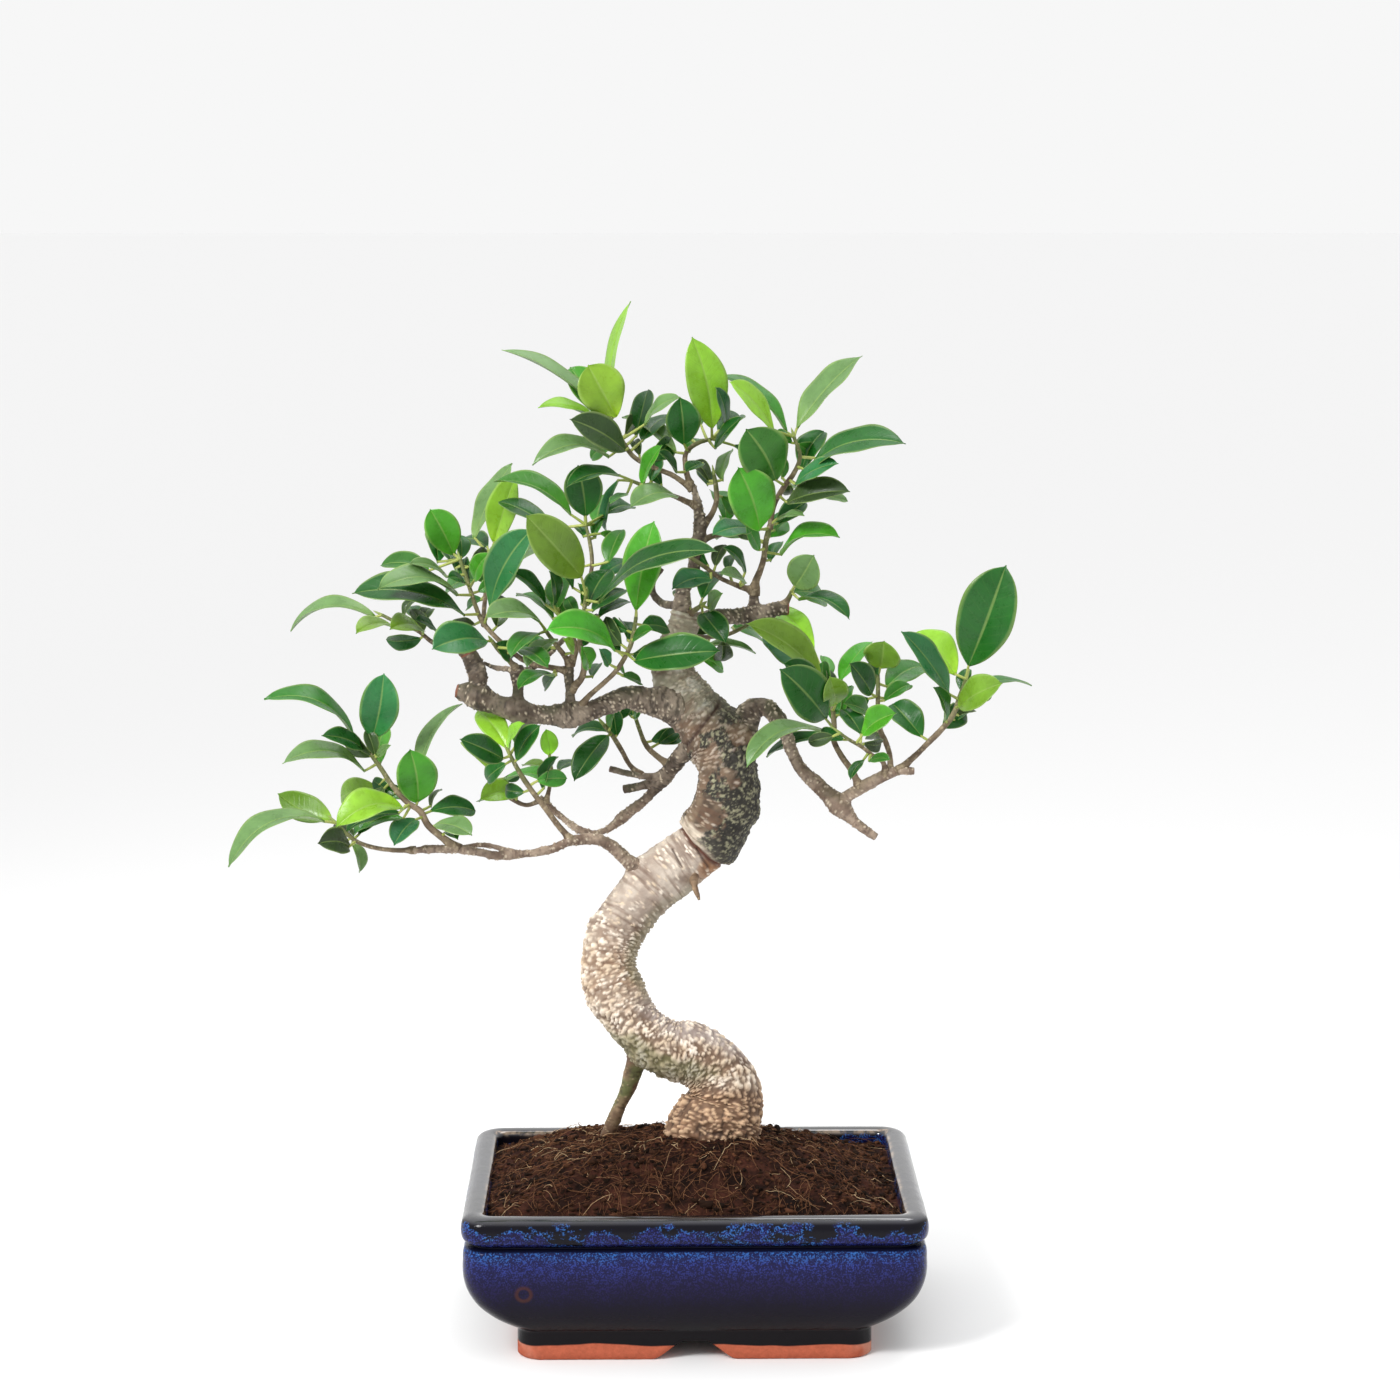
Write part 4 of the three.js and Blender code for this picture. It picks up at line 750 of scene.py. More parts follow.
class Skin:
    """A mesh being gathered: points, quads, triangles, and per-point UVs and colours."""

    def __init__(self):
        self.points, self.quads, self.triangles, self.uvs, self.tints = [], [], [], [], []
        self.material_of_quads, self.material_of_triangles = [], []
        self.count = 0

    def add(self, points, quads, triangles=(), uvs=None, tints=None, material=0):
        points = np.asarray(points, float).reshape(-1, 3)
        n = len(points)
        self.points.append(points)
        self.quads.append(np.asarray(quads, np.int64).reshape(-1, 4) + self.count)
        self.triangles.append(np.asarray(triangles, np.int64).reshape(-1, 3) + self.count)
        self.uvs.append(np.zeros((n, 2)) if uvs is None else np.asarray(uvs, float).reshape(-1, 2))
        plain = np.ones((n, 3)) * 0.5
        self.tints.append(plain if tints is None else np.asarray(tints, float).reshape(-1, 3))
        self.material_of_quads.append(np.full(len(self.quads[-1]), material))
        self.material_of_triangles.append(np.full(len(self.triangles[-1]), material))
        self.count += n

    def object(self, name, materials, slot, nodes=(), as_drawn=False):
        """The gathered mesh as a piece of the plant, in metres, standing in for its CAD nodes."""
        points = np.concatenate(self.points)
        points = ((place(points) if as_drawn else points) + ORIGIN) * MM
        quads, triangles = np.concatenate(self.quads), np.concatenate(self.triangles)
        corners = np.concatenate([quads.ravel(), triangles.ravel()])
        sizes = np.concatenate([np.full(len(quads), 4), np.full(len(triangles), 3)])
        mesh = bpy.data.meshes.new(name)
        mesh.vertices.add(len(points))
        mesh.vertices.foreach_set("co", points.ravel())
        mesh.loops.add(len(corners))
        mesh.loops.foreach_set("vertex_index", corners)
        mesh.polygons.add(len(sizes))
        mesh.polygons.foreach_set("loop_start", np.concatenate([[0], np.cumsum(sizes)[:-1]]))
        which = np.concatenate([*self.material_of_quads, *self.material_of_triangles])
        mesh.polygons.foreach_set("material_index", which)
        mesh.polygons.foreach_set("use_smooth", np.ones(len(sizes), bool))
        mesh.update(calc_edges=True)
        uv = mesh.uv_layers.new(name="UVMap")
        uv.uv.foreach_set("vector", np.concatenate(self.uvs)[corners].ravel())
        tint = mesh.color_attributes.new(name="tint", type="FLOAT_COLOR", domain="POINT")
        colours = np.concatenate(self.tints)
        tint.data.foreach_set("color", np.column_stack([colours, np.ones(len(colours))]).ravel())
        mesh.validate()
        for material in materials:
            mesh.materials.append(material)
        piece = bpy.data.objects.new(name, mesh)
        bpy.context.scene.collection.objects.link(piece)
        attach(piece, "root")
        if nodes:
            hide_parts(*nodes)
        return piece


def smooth_path(points, spacing):
    """A curve through the points, by cubic pieces whose slope at a point is that of its neighbours.
    Every column is carried along, so a radius eases from point to point too."""
    points = np.asarray(points, float)
    reach = np.linalg.norm(np.diff(points[:, :3], axis=0), axis=1)
    at = np.concatenate([[0], np.cumsum(reach)])
    slopes = np.gradient(points, at, axis=0)
    count = max(int(at[-1] / spacing), 3)
    where = np.linspace(0, at[-1], count)
    i = np.clip(np.searchsorted(at, where, side="right") - 1, 0, len(at) - 2)
    h = (at[i + 1] - at[i])[:, None]
    t = ((where - at[i]) / h[:, 0])[:, None]
    return (
        (2 * t ** 3 - 3 * t ** 2 + 1) * points[i] + (t ** 3 - 2 * t ** 2 + t) * h * slopes[i]
        + (3 * t ** 2 - 2 * t ** 3) * points[i + 1] + (t ** 3 - t ** 2) * h * slopes[i + 1]
    )


def unit(vectors):
    return vectors / np.maximum(np.linalg.norm(vectors, axis=-1, keepdims=True), 1e-9)


def frames_along(centres):
    """Directions along and across a path, carried from point to point without a twist."""
    along = unit(np.gradient(centres, axis=0))
    across = np.zeros_like(along)
    carried = np.array([0.0, 1.0, 0.0])
    for i, direction in enumerate(along):
        carried = carried - direction * carried.dot(direction)
        carried = carried / np.linalg.norm(carried)
        across[i] = carried
    return along, across, np.cross(along, across)


def tube(centres, radii, sides):
    """Rings round a path. radii has one value for each ring, or one for each point of each ring.
    The last ring closes on a point just past the end, the first on its own middle."""
    along, across, other = frames_along(centres)
    angle = np.arange(sides) / sides * 2 * np.pi
    out = across[:, None] * np.cos(angle)[None, :, None] + other[:, None] * np.sin(angle)[None, :, None]
    radii = np.asarray(radii, float)
    radii = radii[:, None] if radii.ndim == 1 else radii
    rings = centres[:, None] + out * radii[..., None]
    tip = centres[-1] + along[-1] * radii[-1].mean() * 0.35
    return *closed_rings(rings, centres[0], tip), out


# ------------------------------------------------------------------ shader groups


def new_group(name, inputs, outputs):
    """An empty shader group with its sockets, and its input and output nodes."""
    group = bpy.data.node_groups.new(name, "ShaderNodeTree")
    kinds = {"value": "NodeSocketFloat", "colour": "NodeSocketColor", "vector": "NodeSocketVector"}
    for socket, (kind, value) in inputs.items():
        made = group.interface.new_socket(socket, in_out="INPUT", socket_type=kinds[kind])
        if value is not None:
            made.default_value = value
    for socket, kind in outputs.items():
        group.interface.new_socket(socket, in_out="OUTPUT", socket_type=kinds[kind])
    return group, group.nodes.new("NodeGroupInput"), group.nodes.new("NodeGroupOutput")


class Graph:
    """Short ways to add nodes to a tree: each call returns the new node's first output."""

    def __init__(self, tree):
        self.tree = tree

    def link(self, source, socket):
        if isinstance(source, (int, float)):
            socket.default_value = source
        elif isinstance(source, (tuple, list)):
            socket.default_value = source if len(source) == len(socket.default_value) else (*source, 1)
        else:
            self.tree.links.new(source, socket)

    def math(self, operation, a, b=0.0, c=0.0):
        node = self.tree.nodes.new("ShaderNodeMath")
        node.operation = operation
        for value, socket in zip((a, b, c), node.inputs):
            self.link(value, socket)
        return node.outputs[0]

    def times(self, a, b):
        return self.math("MULTIPLY", a, b)

    def plus(self, a, b):
        return self.math("ADD", a, b)

    def less(self, a, b):
        return self.math("SUBTRACT", a, b)

    def noise(self, vector, scale, detail=3.0, roughness=0.5, distortion=0.0):
        node = self.tree.nodes.new("ShaderNodeTexNoise")
        self.link(vector, node.inputs["Vector"])
        for name, value in (("Scale", scale), ("Detail", detail), ("Roughness", roughness),
                            ("Distortion", distortion)):
            node.inputs[name].default_value = value
        return node.outputs["Fac"]

    def cells(self, vector, scale):
        node = self.tree.nodes.new("ShaderNodeTexVoronoi")
        self.link(vector, node.inputs["Vector"])
        node.inputs["Scale"].default_value = scale
        return node.outputs["Distance"]

    def away(self, vector, place_at):
        node = self.tree.nodes.new("ShaderNodeVectorMath")
        node.operation = "DISTANCE"
        self.link(vector, node.inputs[0])
        self.link(place_at, node.inputs[1])
        return node.outputs["Value"]

    def stretch(self, vector, scale):
        node = self.tree.nodes.new("ShaderNodeMapping")
        self.link(vector, node.inputs["Vector"])
        node.inputs["Scale"].default_value = scale
        return node.outputs[0]

    def mix(self, share, a, b, kind="MIX"):
        node = self.tree.nodes.new("ShaderNodeMix")
        node.data_type = "RGBA"
        node.blend_type = kind
        self.link(share, node.inputs[0])
        self.link(a, node.inputs[6])
        self.link(b, node.inputs[7])
        return node.outputs[2]

    def ease(self, value, low, high, to_low=0.0, to_high=1.0):
        node = self.tree.nodes.new("ShaderNodeMapRange")
        node.interpolation_type = "SMOOTHSTEP"
        self.link(value, node.inputs["Value"])
        for name, number in (("From Min", low), ("From Max", high), ("To Min", to_low), ("To Max", to_high)):
            node.inputs[name].default_value = number
        return node.outputs["Result"]

    def fade(self, value, low, high):
        return self.ease(value, low, high, 1.0, 0.0)

    def band(self, value, low, full, past, high):
        """1 between full and past, 0 outside low and high."""
        return self.times(self.ease(value, low, full), self.fade(value, past, high))

    def ramp(self, value, stops):
        node = self.tree.nodes.new("ShaderNodeValToRGB")
        self.link(value, node.inputs[0])
        elements = node.color_ramp.elements
        for element, (place_at, colour) in zip(elements, stops[:2]):
            element.position = place_at
            element.color = (*colour, 1)
        for place_at, colour in stops[2:]:
            elements.new(place_at).color = (*colour, 1)
        return node.outputs[0]

    def bump(self, height, strength, distance):
        node = self.tree.nodes.new("ShaderNodeBump")
        self.link(height, node.inputs["Height"])
        node.inputs["Strength"].default_value = strength
        node.inputs["Distance"].default_value = distance
        return node.outputs[0]

    def object_place(self):
        return self.tree.nodes.new("ShaderNodeTexCoord").outputs["Object"]

    def uv(self):
        return self.tree.nodes.new("ShaderNodeTexCoord").outputs["UV"]

    def tint(self):
        node = self.tree.nodes.new("ShaderNodeAttribute")
        node.attribute_name = "tint"
        return node.outputs["Color"]

    def parts(self, vector):
        node = self.tree.nodes.new("ShaderNodeSeparateXYZ")
        self.link(vector, node.inputs[0])
        return node.outputs

    def group(self, group, **inputs):
        node = self.tree.nodes.new("ShaderNodeGroup")
        node.node_tree = group
        for name, value in inputs.items():
            self.link(value, node.inputs[name])
        return node.outputs


def grain_group():
    """Fine mottling shared by bark, clay, soil and glaze: a colour made lighter and darker by noise,
    and the noise itself as a height."""
    group, given, made = new_group(
        "grain",
        {"Place": ("vector", None), "Colour": ("colour", None), "Scale": ("value", 300.0),
         "Contrast": ("value", 0.4)},
        {"Colour": "colour", "Height": "value"},
    )
    g = Graph(group)
    scaled = group.nodes.new("ShaderNodeVectorMath")
    scaled.operation = "SCALE"
    g.link(given.outputs["Place"], scaled.inputs[0])
    g.link(given.outputs["Scale"], scaled.inputs["Scale"])
    fine = g.noise(scaled.outputs[0], 1.0, 5.0, 0.65)
    swing = g.times(g.less(fine, 0.5), 2.0)
    brightness = g.math("MULTIPLY_ADD", swing, given.outputs["Contrast"], 1.0)
    grey = group.nodes.new("ShaderNodeCombineColor")
    for socket in grey.inputs:
        g.link(brightness, socket)
    g.link(g.mix(1.0, given.outputs["Colour"], grey.outputs[0], "MULTIPLY"), made.inputs["Colour"])
    g.link(fine, made.inputs["Height"])
    return group


def leaf_veins_group():
    """The veins of a blade, from its UVs: a pale line down the middle and thin side veins that
    sweep forward from it. Puts out the two line masks and a height."""
    group, given, made = new_group(
        "leaf veins", {"UV": ("vector", None), "Pairs": ("value", 11.0)},
        {"Midrib": "value", "Side veins": "value", "Height": "value"},
    )
    g = Graph(group)
    across, along, _ = g.parts(given.outputs["UV"])
    off = g.math("ABSOLUTE", g.less(across, 0.5))
    midrib = g.fade(off, 0.012, 0.035)
    sweep = g.less(along, g.times(off, 0.34))
    phase = g.math("FRACT", g.times(sweep, given.outputs["Pairs"]))
    ridge = g.math("ABSOLUTE", g.less(phase, 0.5))
    side = g.times(g.fade(ridge, 0.0, 0.11), g.fade(off, 0.30, 0.48))
    fine = g.noise(g.stretch(given.outputs["UV"], (9.0, 22.0, 1.0)), 4.0, 3.0)
    height = g.less(g.times(fine, 0.35), g.times(side, 0.5))
    height = g.less(height, midrib)
    g.link(midrib, made.inputs["Midrib"])
    g.link(side, made.inputs["Side veins"])
    g.link(height, made.inputs["Height"])
    return group


CRATER = np.array([-80, -76, 36])  # one burst bubble in the glaze, low on the left of the front
GRAIN = grain_group()
LEAF_VEINS = leaf_veins_group()


def new_material(name):
    """A material with one Principled shader, and the graph helper for its nodes."""
    material = bpy.data.materials.new(name)
    material.use_nodes = True
    shader = material.node_tree.nodes["Principled BSDF"]
    return material, shader, Graph(material.node_tree)


def leaf_material():
    """Leaf blades: the tint with darker and lighter cloudiness, pale veins, a waxy upper face and
    light that comes through from behind."""
    material, shader, g = new_material("leaf blade")
    veins = g.group(LEAF_VEINS, UV=g.uv())
    cloud = g.group(GRAIN, Place=g.object_place(), Colour=g.tint(), Scale=180.0, Contrast=0.30)
    pale = g.mix(0.55, cloud["Colour"], (0.36, 0.50, 0.14))
    colour = g.mix(g.times(veins["Midrib"], 0.7), cloud["Colour"], pale)
    colour = g.mix(g.times(veins["Side veins"], 0.05), colour, pale)
    g.link(colour, shader.inputs["Base Color"])
    g.link(g.ease(cloud["Height"], 0.3, 0.7, 0.24, 0.38), shader.inputs["Roughness"])
    shader.inputs["Specular IOR Level"].default_value = 0.42
    g.link(g.bump(veins["Height"], 0.22, 0.0005), shader.inputs["Normal"])
    glow = material.node_tree.nodes.new("ShaderNodeBsdfTranslucent")
    g.link(g.mix(1.0, colour, (1.6, 1.5, 0.45), "MULTIPLY"), glow.inputs["Color"])
    mixed = material.node_tree.nodes.new("ShaderNodeMixShader")
    mixed.inputs[0].default_value = 0.25
    g.link(shader.outputs[0], mixed.inputs[1])
    g.link(glow.outputs[0], mixed.inputs[2])
    g.link(mixed.outputs[0], material.node_tree.nodes["Material Output"].inputs["Surface"])
    return material


def stem_material(name, scale, contrast, roughness, depth):
    """Bark or green twig skin: the tint with a fine grain, and the grain as bump."""
    material, shader, g = new_material(name)
    grain = g.group(GRAIN, Place=g.object_place(), Colour=g.tint(), Scale=scale, Contrast=contrast)
    g.link(grain["Colour"], shader.inputs["Base Color"])
    g.link(g.ease(grain["Height"], 0.3, 0.7, roughness - 0.08, roughness + 0.08), shader.inputs["Roughness"])
    g.link(g.bump(grain["Height"], 0.6, depth), shader.inputs["Normal"])
    return material


def glaze_material():
    """The pot's glaze by height: a near-black rim roll broken by cobalt patches with cyan fringes, a
    dark groove, a belly whose cobalt speckle thins out downwards into blue-black, and bare clay at
    the bottom of the foot. The tint's red marks arrises where the glaze runs thin."""
    material, shader, g = new_material("blue glaze")
    place_at = g.object_place()
    _, _, z = g.parts(place_at)
    thin, bevel, _ = g.parts(g.tint())
    level = g.math("DIVIDE", z, POT_SIZE[2] * MM)
    wander = g.noise(g.stretch(place_at, (1.0, 1.0, 0.35)), 55.0, 5.0, 0.65)
    shifted = g.plus(level, g.times(g.less(wander, 0.5), 0.16))
    body = g.ramp(shifted, [
        (0.00, (0.0030, 0.0022, 0.0030)), (1.00, (0.0040, 0.0035, 0.0060)),
        (0.22, (0.0045, 0.0030, 0.0045)), (0.40, (0.0060, 0.0042, 0.0120)),
        (0.58, (0.0070, 0.0055, 0.0300)), (0.72, (0.0080, 0.0080, 0.0480)),
        (0.79, (0.0060, 0.0090, 0.0500)),
    ])
    # fine speckle under a millimetre apart: indigo low on the belly, cobalt and cyan near its top
    fine = g.noise(place_at, 1250.0, 2.0, 0.6)
    coarse = g.noise(place_at, 430.0, 3.0, 0.6)
    speck = g.ease(g.plus(fine, g.times(g.less(coarse, 0.5), 0.45)), 0.49, 0.60)
    on_belly = g.times(g.ease(shifted, 0.34, 0.74), g.fade(level, 0.775, 0.785))
    dots = g.ramp(shifted, [
        (0.35, (0.014, 0.008, 0.060)), (0.80, (0.024, 0.115, 0.350)),
        (0.55, (0.016, 0.012, 0.075)), (0.70, (0.022, 0.036, 0.200)),
    ])
    body = g.mix(g.times(speck, on_belly), body, dots)
    # the rim roll: patches of cobalt that hang below black, fringed with cyan where they end
    patch = g.noise(g.stretch(place_at, (1.0, 1.0, 1.5)), 62.0, 5.0, 0.68)
    cover = g.less(patch, g.times(g.less(level, 0.895), 1.25))
    on_band = g.band(level, 0.80, 0.815, 0.955, 0.985)
    cobalt = g.mix(speck, (0.007, 0.006, 0.030), (0.020, 0.030, 0.170))
    cobalt = g.mix(g.times(g.fade(cover, 0.48, 0.56), speck), cobalt, (0.030, 0.130, 0.380))
    roll = g.mix(g.ease(cover, 0.455, 0.500), (0.0045, 0.0040, 0.0070), cobalt)
    body = g.mix(on_band, body, roll)
    groove = g.band(level, 0.772, 0.785, 0.800, 0.815)
    body = g.mix(g.times(groove, 0.85), body, (0.004, 0.004, 0.010))
    # thin glaze on the arrises shows the clay, and small pinholes do too
    worn = g.times(thin, g.ease(g.noise(place_at, 170.0, 4.0, 0.6), 0.42, 0.62))
    body = g.mix(worn, body, (0.300, 0.215, 0.150))
    spots = g.fade(g.cells(place_at, 36.0), 0.022, 0.034)
    spots = g.times(spots, g.ease(g.noise(place_at, 24.0), 0.53, 0.58))
    body = g.mix(spots, body, (0.300, 0.080, 0.030))
    ring = g.away(place_at, tuple((CRATER + ORIGIN) * MM))
    brown = g.band(ring, 0.0022, 0.0031, 0.0036, 0.0050)
    body = g.mix(g.times(brown, 0.7), body, (0.055, 0.018, 0.012))
    # bare clay under a wavy line
    line = g.plus(z, g.times(g.less(g.noise(place_at, 22.0, 2.0), 0.5), 0.008))
    bare = g.fade(line, 0.0066, 0.0074)
    clay = g.group(GRAIN, Place=place_at, Colour=(0.41, 0.100, 0.052), Scale=500.0, Contrast=0.40)
    rubbed = g.times(bevel, g.ease(g.noise(place_at, 60.0, 3.0), 0.42, 0.6))
    worn_clay = g.mix(g.times(rubbed, 0.7), clay["Colour"], (0.56, 0.29, 0.21))
    g.link(g.mix(bare, body, worn_clay), shader.inputs["Base Color"])
    g.link(g.mix(bare, (0.09, 0.09, 0.09), (0.8, 0.8, 0.8)), shader.inputs["Roughness"])
    shader.inputs["Specular IOR Level"].default_value = 0.14
    # thick glossy glaze on top of the rim
    g.link(g.ease(level, 0.955, 0.985), shader.inputs["Coat Weight"])
    shader.inputs["Coat Roughness"].default_value = 0.09
    shader.inputs["Coat IOR"].default_value = 1.8
    ripple = g.plus(g.noise(place_at, 90.0, 3.0), g.times(speck, 0.06))
    g.link(g.bump(g.plus(ripple, g.times(bare, clay["Height"])), 0.35, 0.0009),
           shader.inputs["Normal"])
    return material


def soil_material(name):
    """Moist peat: the tint with strong grain and no gloss."""
    material, shader, g = new_material(name)
    grain = g.group(GRAIN, Place=g.object_place(), Colour=g.tint(), Scale=900.0, Contrast=0.9)
    g.link(grain["Colour"], shader.inputs["Base Color"])
    shader.inputs["Roughness"].default_value = 0.9
    shader.inputs["Specular IOR Level"].default_value = 0.1
    g.link(g.bump(grain["Height"], 0.9, 0.0012), shader.inputs["Normal"])
    return material


def netting_material():
    """Black drain netting: a moulded plastic with a fine square weave."""
    material, shader, g = new_material("drain netting")
    x, y, _ = g.parts(g.object_place())
    threads = [g.math("ABSOLUTE", g.less(g.math("FRACT", g.times(v, 500.0)), 0.5))
               for v in (x, y)]
    weave = g.math("MAXIMUM", *threads)
    g.link(g.mix(g.ease(weave, 0.25, 0.4), (0.006, 0.006, 0.006), (0.03, 0.03, 0.03)),
           shader.inputs["Base Color"])
    shader.inputs["Roughness"].default_value = 0.45
    g.link(g.bump(weave, 0.8, 0.0005), shader.inputs["Normal"])
    return material


LEAF = leaf_material()
BARK = stem_material("trunk bark", 330.0, 0.38, 0.72, 0.0007)
BRANCH_BARK = stem_material("branch bark", 520.0, 0.45, 0.74, 0.0005)
GREEN_STEM = stem_material("leaf stalk", 700.0, 0.25, 0.5, 0.0002)
GLAZE = glaze_material()
PEAT = soil_material("peat")
FIBRE = soil_material("peat fibre")
NETTING = netting_material()

# ------------------------------------------------------------------ pot


def rounded_ring(half_length, half_depth, radius, straight_long=90, straight_short=60, corner_steps=18):
    """A rounded rectangle as points in order, anticlockwise, with even steps on each stretch."""
    points = []
    corners = [(1, 1, 0), (-1, 1, 1), (-1, -1, 2), (1, -1, 3)]
    for sx, sy, quarter in corners:
        angle = (quarter + np.arange(corner_steps) / corner_steps) * np.pi / 2
        arc = np.column_stack([sx * (half_length - radius) + radius * np.cos(angle),
                               sy * (half_depth - radius) + radius * np.sin(angle)])
        outward, towards = (np.round([math.cos(q * np.pi / 2), math.sin(q * np.pi / 2)])
                            for q in (quarter + 1, quarter + 2))
        end = np.array([sx * (half_length - radius), sy * (half_depth - radius)]) + radius * outward
        count = straight_long if quarter % 2 == 0 else straight_short
        run = 2 * (half_length - radius) if quarter % 2 == 0 else 2 * (half_depth - radius)
        straight = end + towards * (np.arange(count) / count * run)[:, None]
        points += [arc, straight]
    return np.concatenate(points)


def opening(inset=0.0):
    """Half the length and half the depth of the space inside the rim, less an inset."""
    return POT_SIZE[:2] / 2 - POT["rim_width"] - inset


def pot_rings(rows):
    """Rings from rows of (inward, z, inset): inward is 0 at the rim's outline and 1 at the foot's."""
    rings = []
    for inward, z, inset in rows:
        half_length = (POT_SIZE[0] * (1 - inward) + POT["foot_length"] * inward) / 2 - inset
        half_depth = (POT_SIZE[1] * (1 - inward) + POT["foot_depth"] * inward) / 2 - inset
        ring = rounded_ring(half_length, half_depth, max(POT["corner"] - inset * 0.6, 3))
        rings.append(np.column_stack([ring, np.full(len(ring), z)]))
    return np.array(rings)


def eased_rows(rows, spacing=1.0):
    """Profile rows joined by a smooth curve in steps of about the spacing."""
    rows = np.array(rows, float)
    reach = POT_SIZE[0] - POT["foot_length"]
    places = np.column_stack([rows[:, 0] * reach / 2 + rows[:, 2], np.zeros(len(rows)), rows[:, 1], rows])
    return smooth_path(places, spacing)[:, 3:]


def make_pot():
    """The pot as one closed skin: underside, foot, belly, groove, rim roll and inside wall."""
    height, foot = POT_SIZE[2], POT["foot_height"]
    belly_top = height - POT["rim_band"] - 3
    belly = belly_top - foot
    floor = POT["recess"] + POT["floor"]
    ledge = POT["foot_width"]
    under = [(1, POT["recess"], 50), (1, POT["recess"], 30), (1, POT["recess"], ledge + 0.6),
             (1, POT["recess"] - 0.6, ledge), (1, 4, ledge), (1, 0.8, ledge), (1, 0, ledge - 0.8)]
    strip = [(1, 0, ledge - 3), (1, 0, 3), (1, 0, 1.0), (1, 0.8, 0)]
    side = [(1, 4, 0), (1, 8, 0), (1, foot - 1.5, 0), (0.99, foot - 0.4, 0)]
    outside = eased_rows([
        (0.97, foot + 0.2, 0), (0.86, foot + belly * 0.04, 0), (0.5, foot + belly * 0.18, 0),
        (0.2, foot + belly * 0.38, 0), (0.03, foot + belly * 0.66, 0), (0.02, foot + belly * 0.84, 0),
        (0.06, belly_top, 0.2), (0.07, belly_top + 1.2, POT["groove_depth"] - 0.8),
        (0.03, belly_top + 2.4, 2.6), (0, belly_top + 4, 0.9), (0, belly_top + 7, 0),
        (0, height - POT["rim_band"] * 0.45, 0), (0, height - 2.4, 1.0), (0, height - 0.6, 3),
        (0, height, 5.2), (0, height - 0.1, 8), (0, height - 0.6, POT["rim_width"] - 1.2),
        (0, height - 1.8, POT["rim_width"]), (0.02, height - 6, POT["rim_width"]),
        (0.06, belly_top, POT["wall"]), (0.2, foot + belly * 0.38, POT["wall"]),
        (0.7, floor + 1, POT["wall"]), (0.8, floor, POT["wall"] + 4),
    ])
    inside = [(0.8, floor, 30), (0.8, floor, 50)]
    rings = pot_rings([*under, *strip, *side, *outside, *inside])
    # the front and back cut-outs lift the foot's lower edge
    across = np.abs(rings[..., 0])
    on_long_side = np.abs(rings[..., 1]) > POT["foot_depth"] / 2 - ledge - 1
    lift = POT["recess"] * step(POT["cutout_foot"] / 2, POT["cutout_top"] / 2 - 2, across) * on_long_side
    z = rings[..., 2]
    low = z < foot
    raised = np.maximum(z, lift + z * (1 - lift / foot))
    rings[..., 2] = np.where(low & (z <= POT["recess"] + 1e-6), raised, z)
    rings[..., 2] = np.where(low & (z > POT["recess"]), np.maximum(rings[..., 2], lift), rings[..., 2])
    rings[:7, :, 2] = np.minimum(rings[:7, :, 2], POT["recess"])
    # hand-made unevenness
    flat = rings.reshape(-1, 3)
    outward = unit(flat * [1, 1, 0])
    wobble = layered_noise(flat, 45, 2, 3) * 0.35 + layered_noise(flat, 9, 2, 5) * 0.10
    settle = step(foot, foot + 8, flat[:, 2])
    flat = flat + outward * ((wobble - 0.35) * settle)[:, None]
    flat[:, 2] -= (1 + layered_noise(flat, 60, 2, 9)) * 0.25 * step(height - 8, height, flat[:, 2])
    away = np.linalg.norm((flat - CRATER) * [1, 0.15, 1], axis=1)
    crater = 0.35 * np.exp(-((away - 3.2) / 1.0) ** 2) - 0.9 * np.exp(-(away / 2.2) ** 2)
    flat = flat + outward * crater[:, None]
    points, quads, triangles = closed_rings(flat.reshape(rings.shape), [0, 0, POT["recess"]], [0, 0, floor])
    # red: the arris inside the rim, where the glaze runs thin; green: the foot's rubbed lower edge
    inner = np.minimum(POT_SIZE[0] / 2 - np.abs(points[:, 0]), POT_SIZE[1] / 2 - np.abs(points[:, 1]))
    arris = np.exp(-((inner - POT["rim_width"] + 0.4) / 0.7) ** 2)
    arris = arris * step(height - 4, height - 2, points[:, 2])
    edge = np.maximum(POT["foot_length"] / 2 - np.abs(points[:, 0]), 0)
    rubbed = np.exp(-(edge / 7) ** 2) * step(foot, foot - 3, points[:, 2])
    skin = Skin()
    skin.add(points, quads, triangles, tints=np.column_stack([arris, rubbed, np.zeros(len(points))]))
    piece = skin.object("glazed_pot", [GLAZE], "pot", ["pot"])
    for hand in (-1, 1):
        drill_hole(piece, hand * DRAIN["spacing"] / 2, DRAIN["diameter"] / 2, POT["recess"], floor)


def drill_hole(piece, x, radius, low, high):
    """A round hole straight up through the pot's floor, cut by a closed cylinder."""
    skin = Skin()
    levels = np.array([low - 3, (low + high) / 2, high + 3])
    centres = np.column_stack([np.full(3, x), np.zeros(3), levels])
    points, quads, triangles, _ = tube(centres, np.full(3, radius), 40)
    skin.add(points, quads, triangles)
    drill = skin.object("drill", [GLAZE], "pot")
    cut = piece.modifiers.new("drain hole", "BOOLEAN")
    cut.operation = "DIFFERENCE"
    cut.solver = "EXACT"
    cut.object = drill
    bpy.context.view_layer.objects.active = piece
    bpy.ops.object.modifier_apply(modifier=cut.name)
    bpy.data.objects.remove(drill)


# ------------------------------------------------------------------ soil


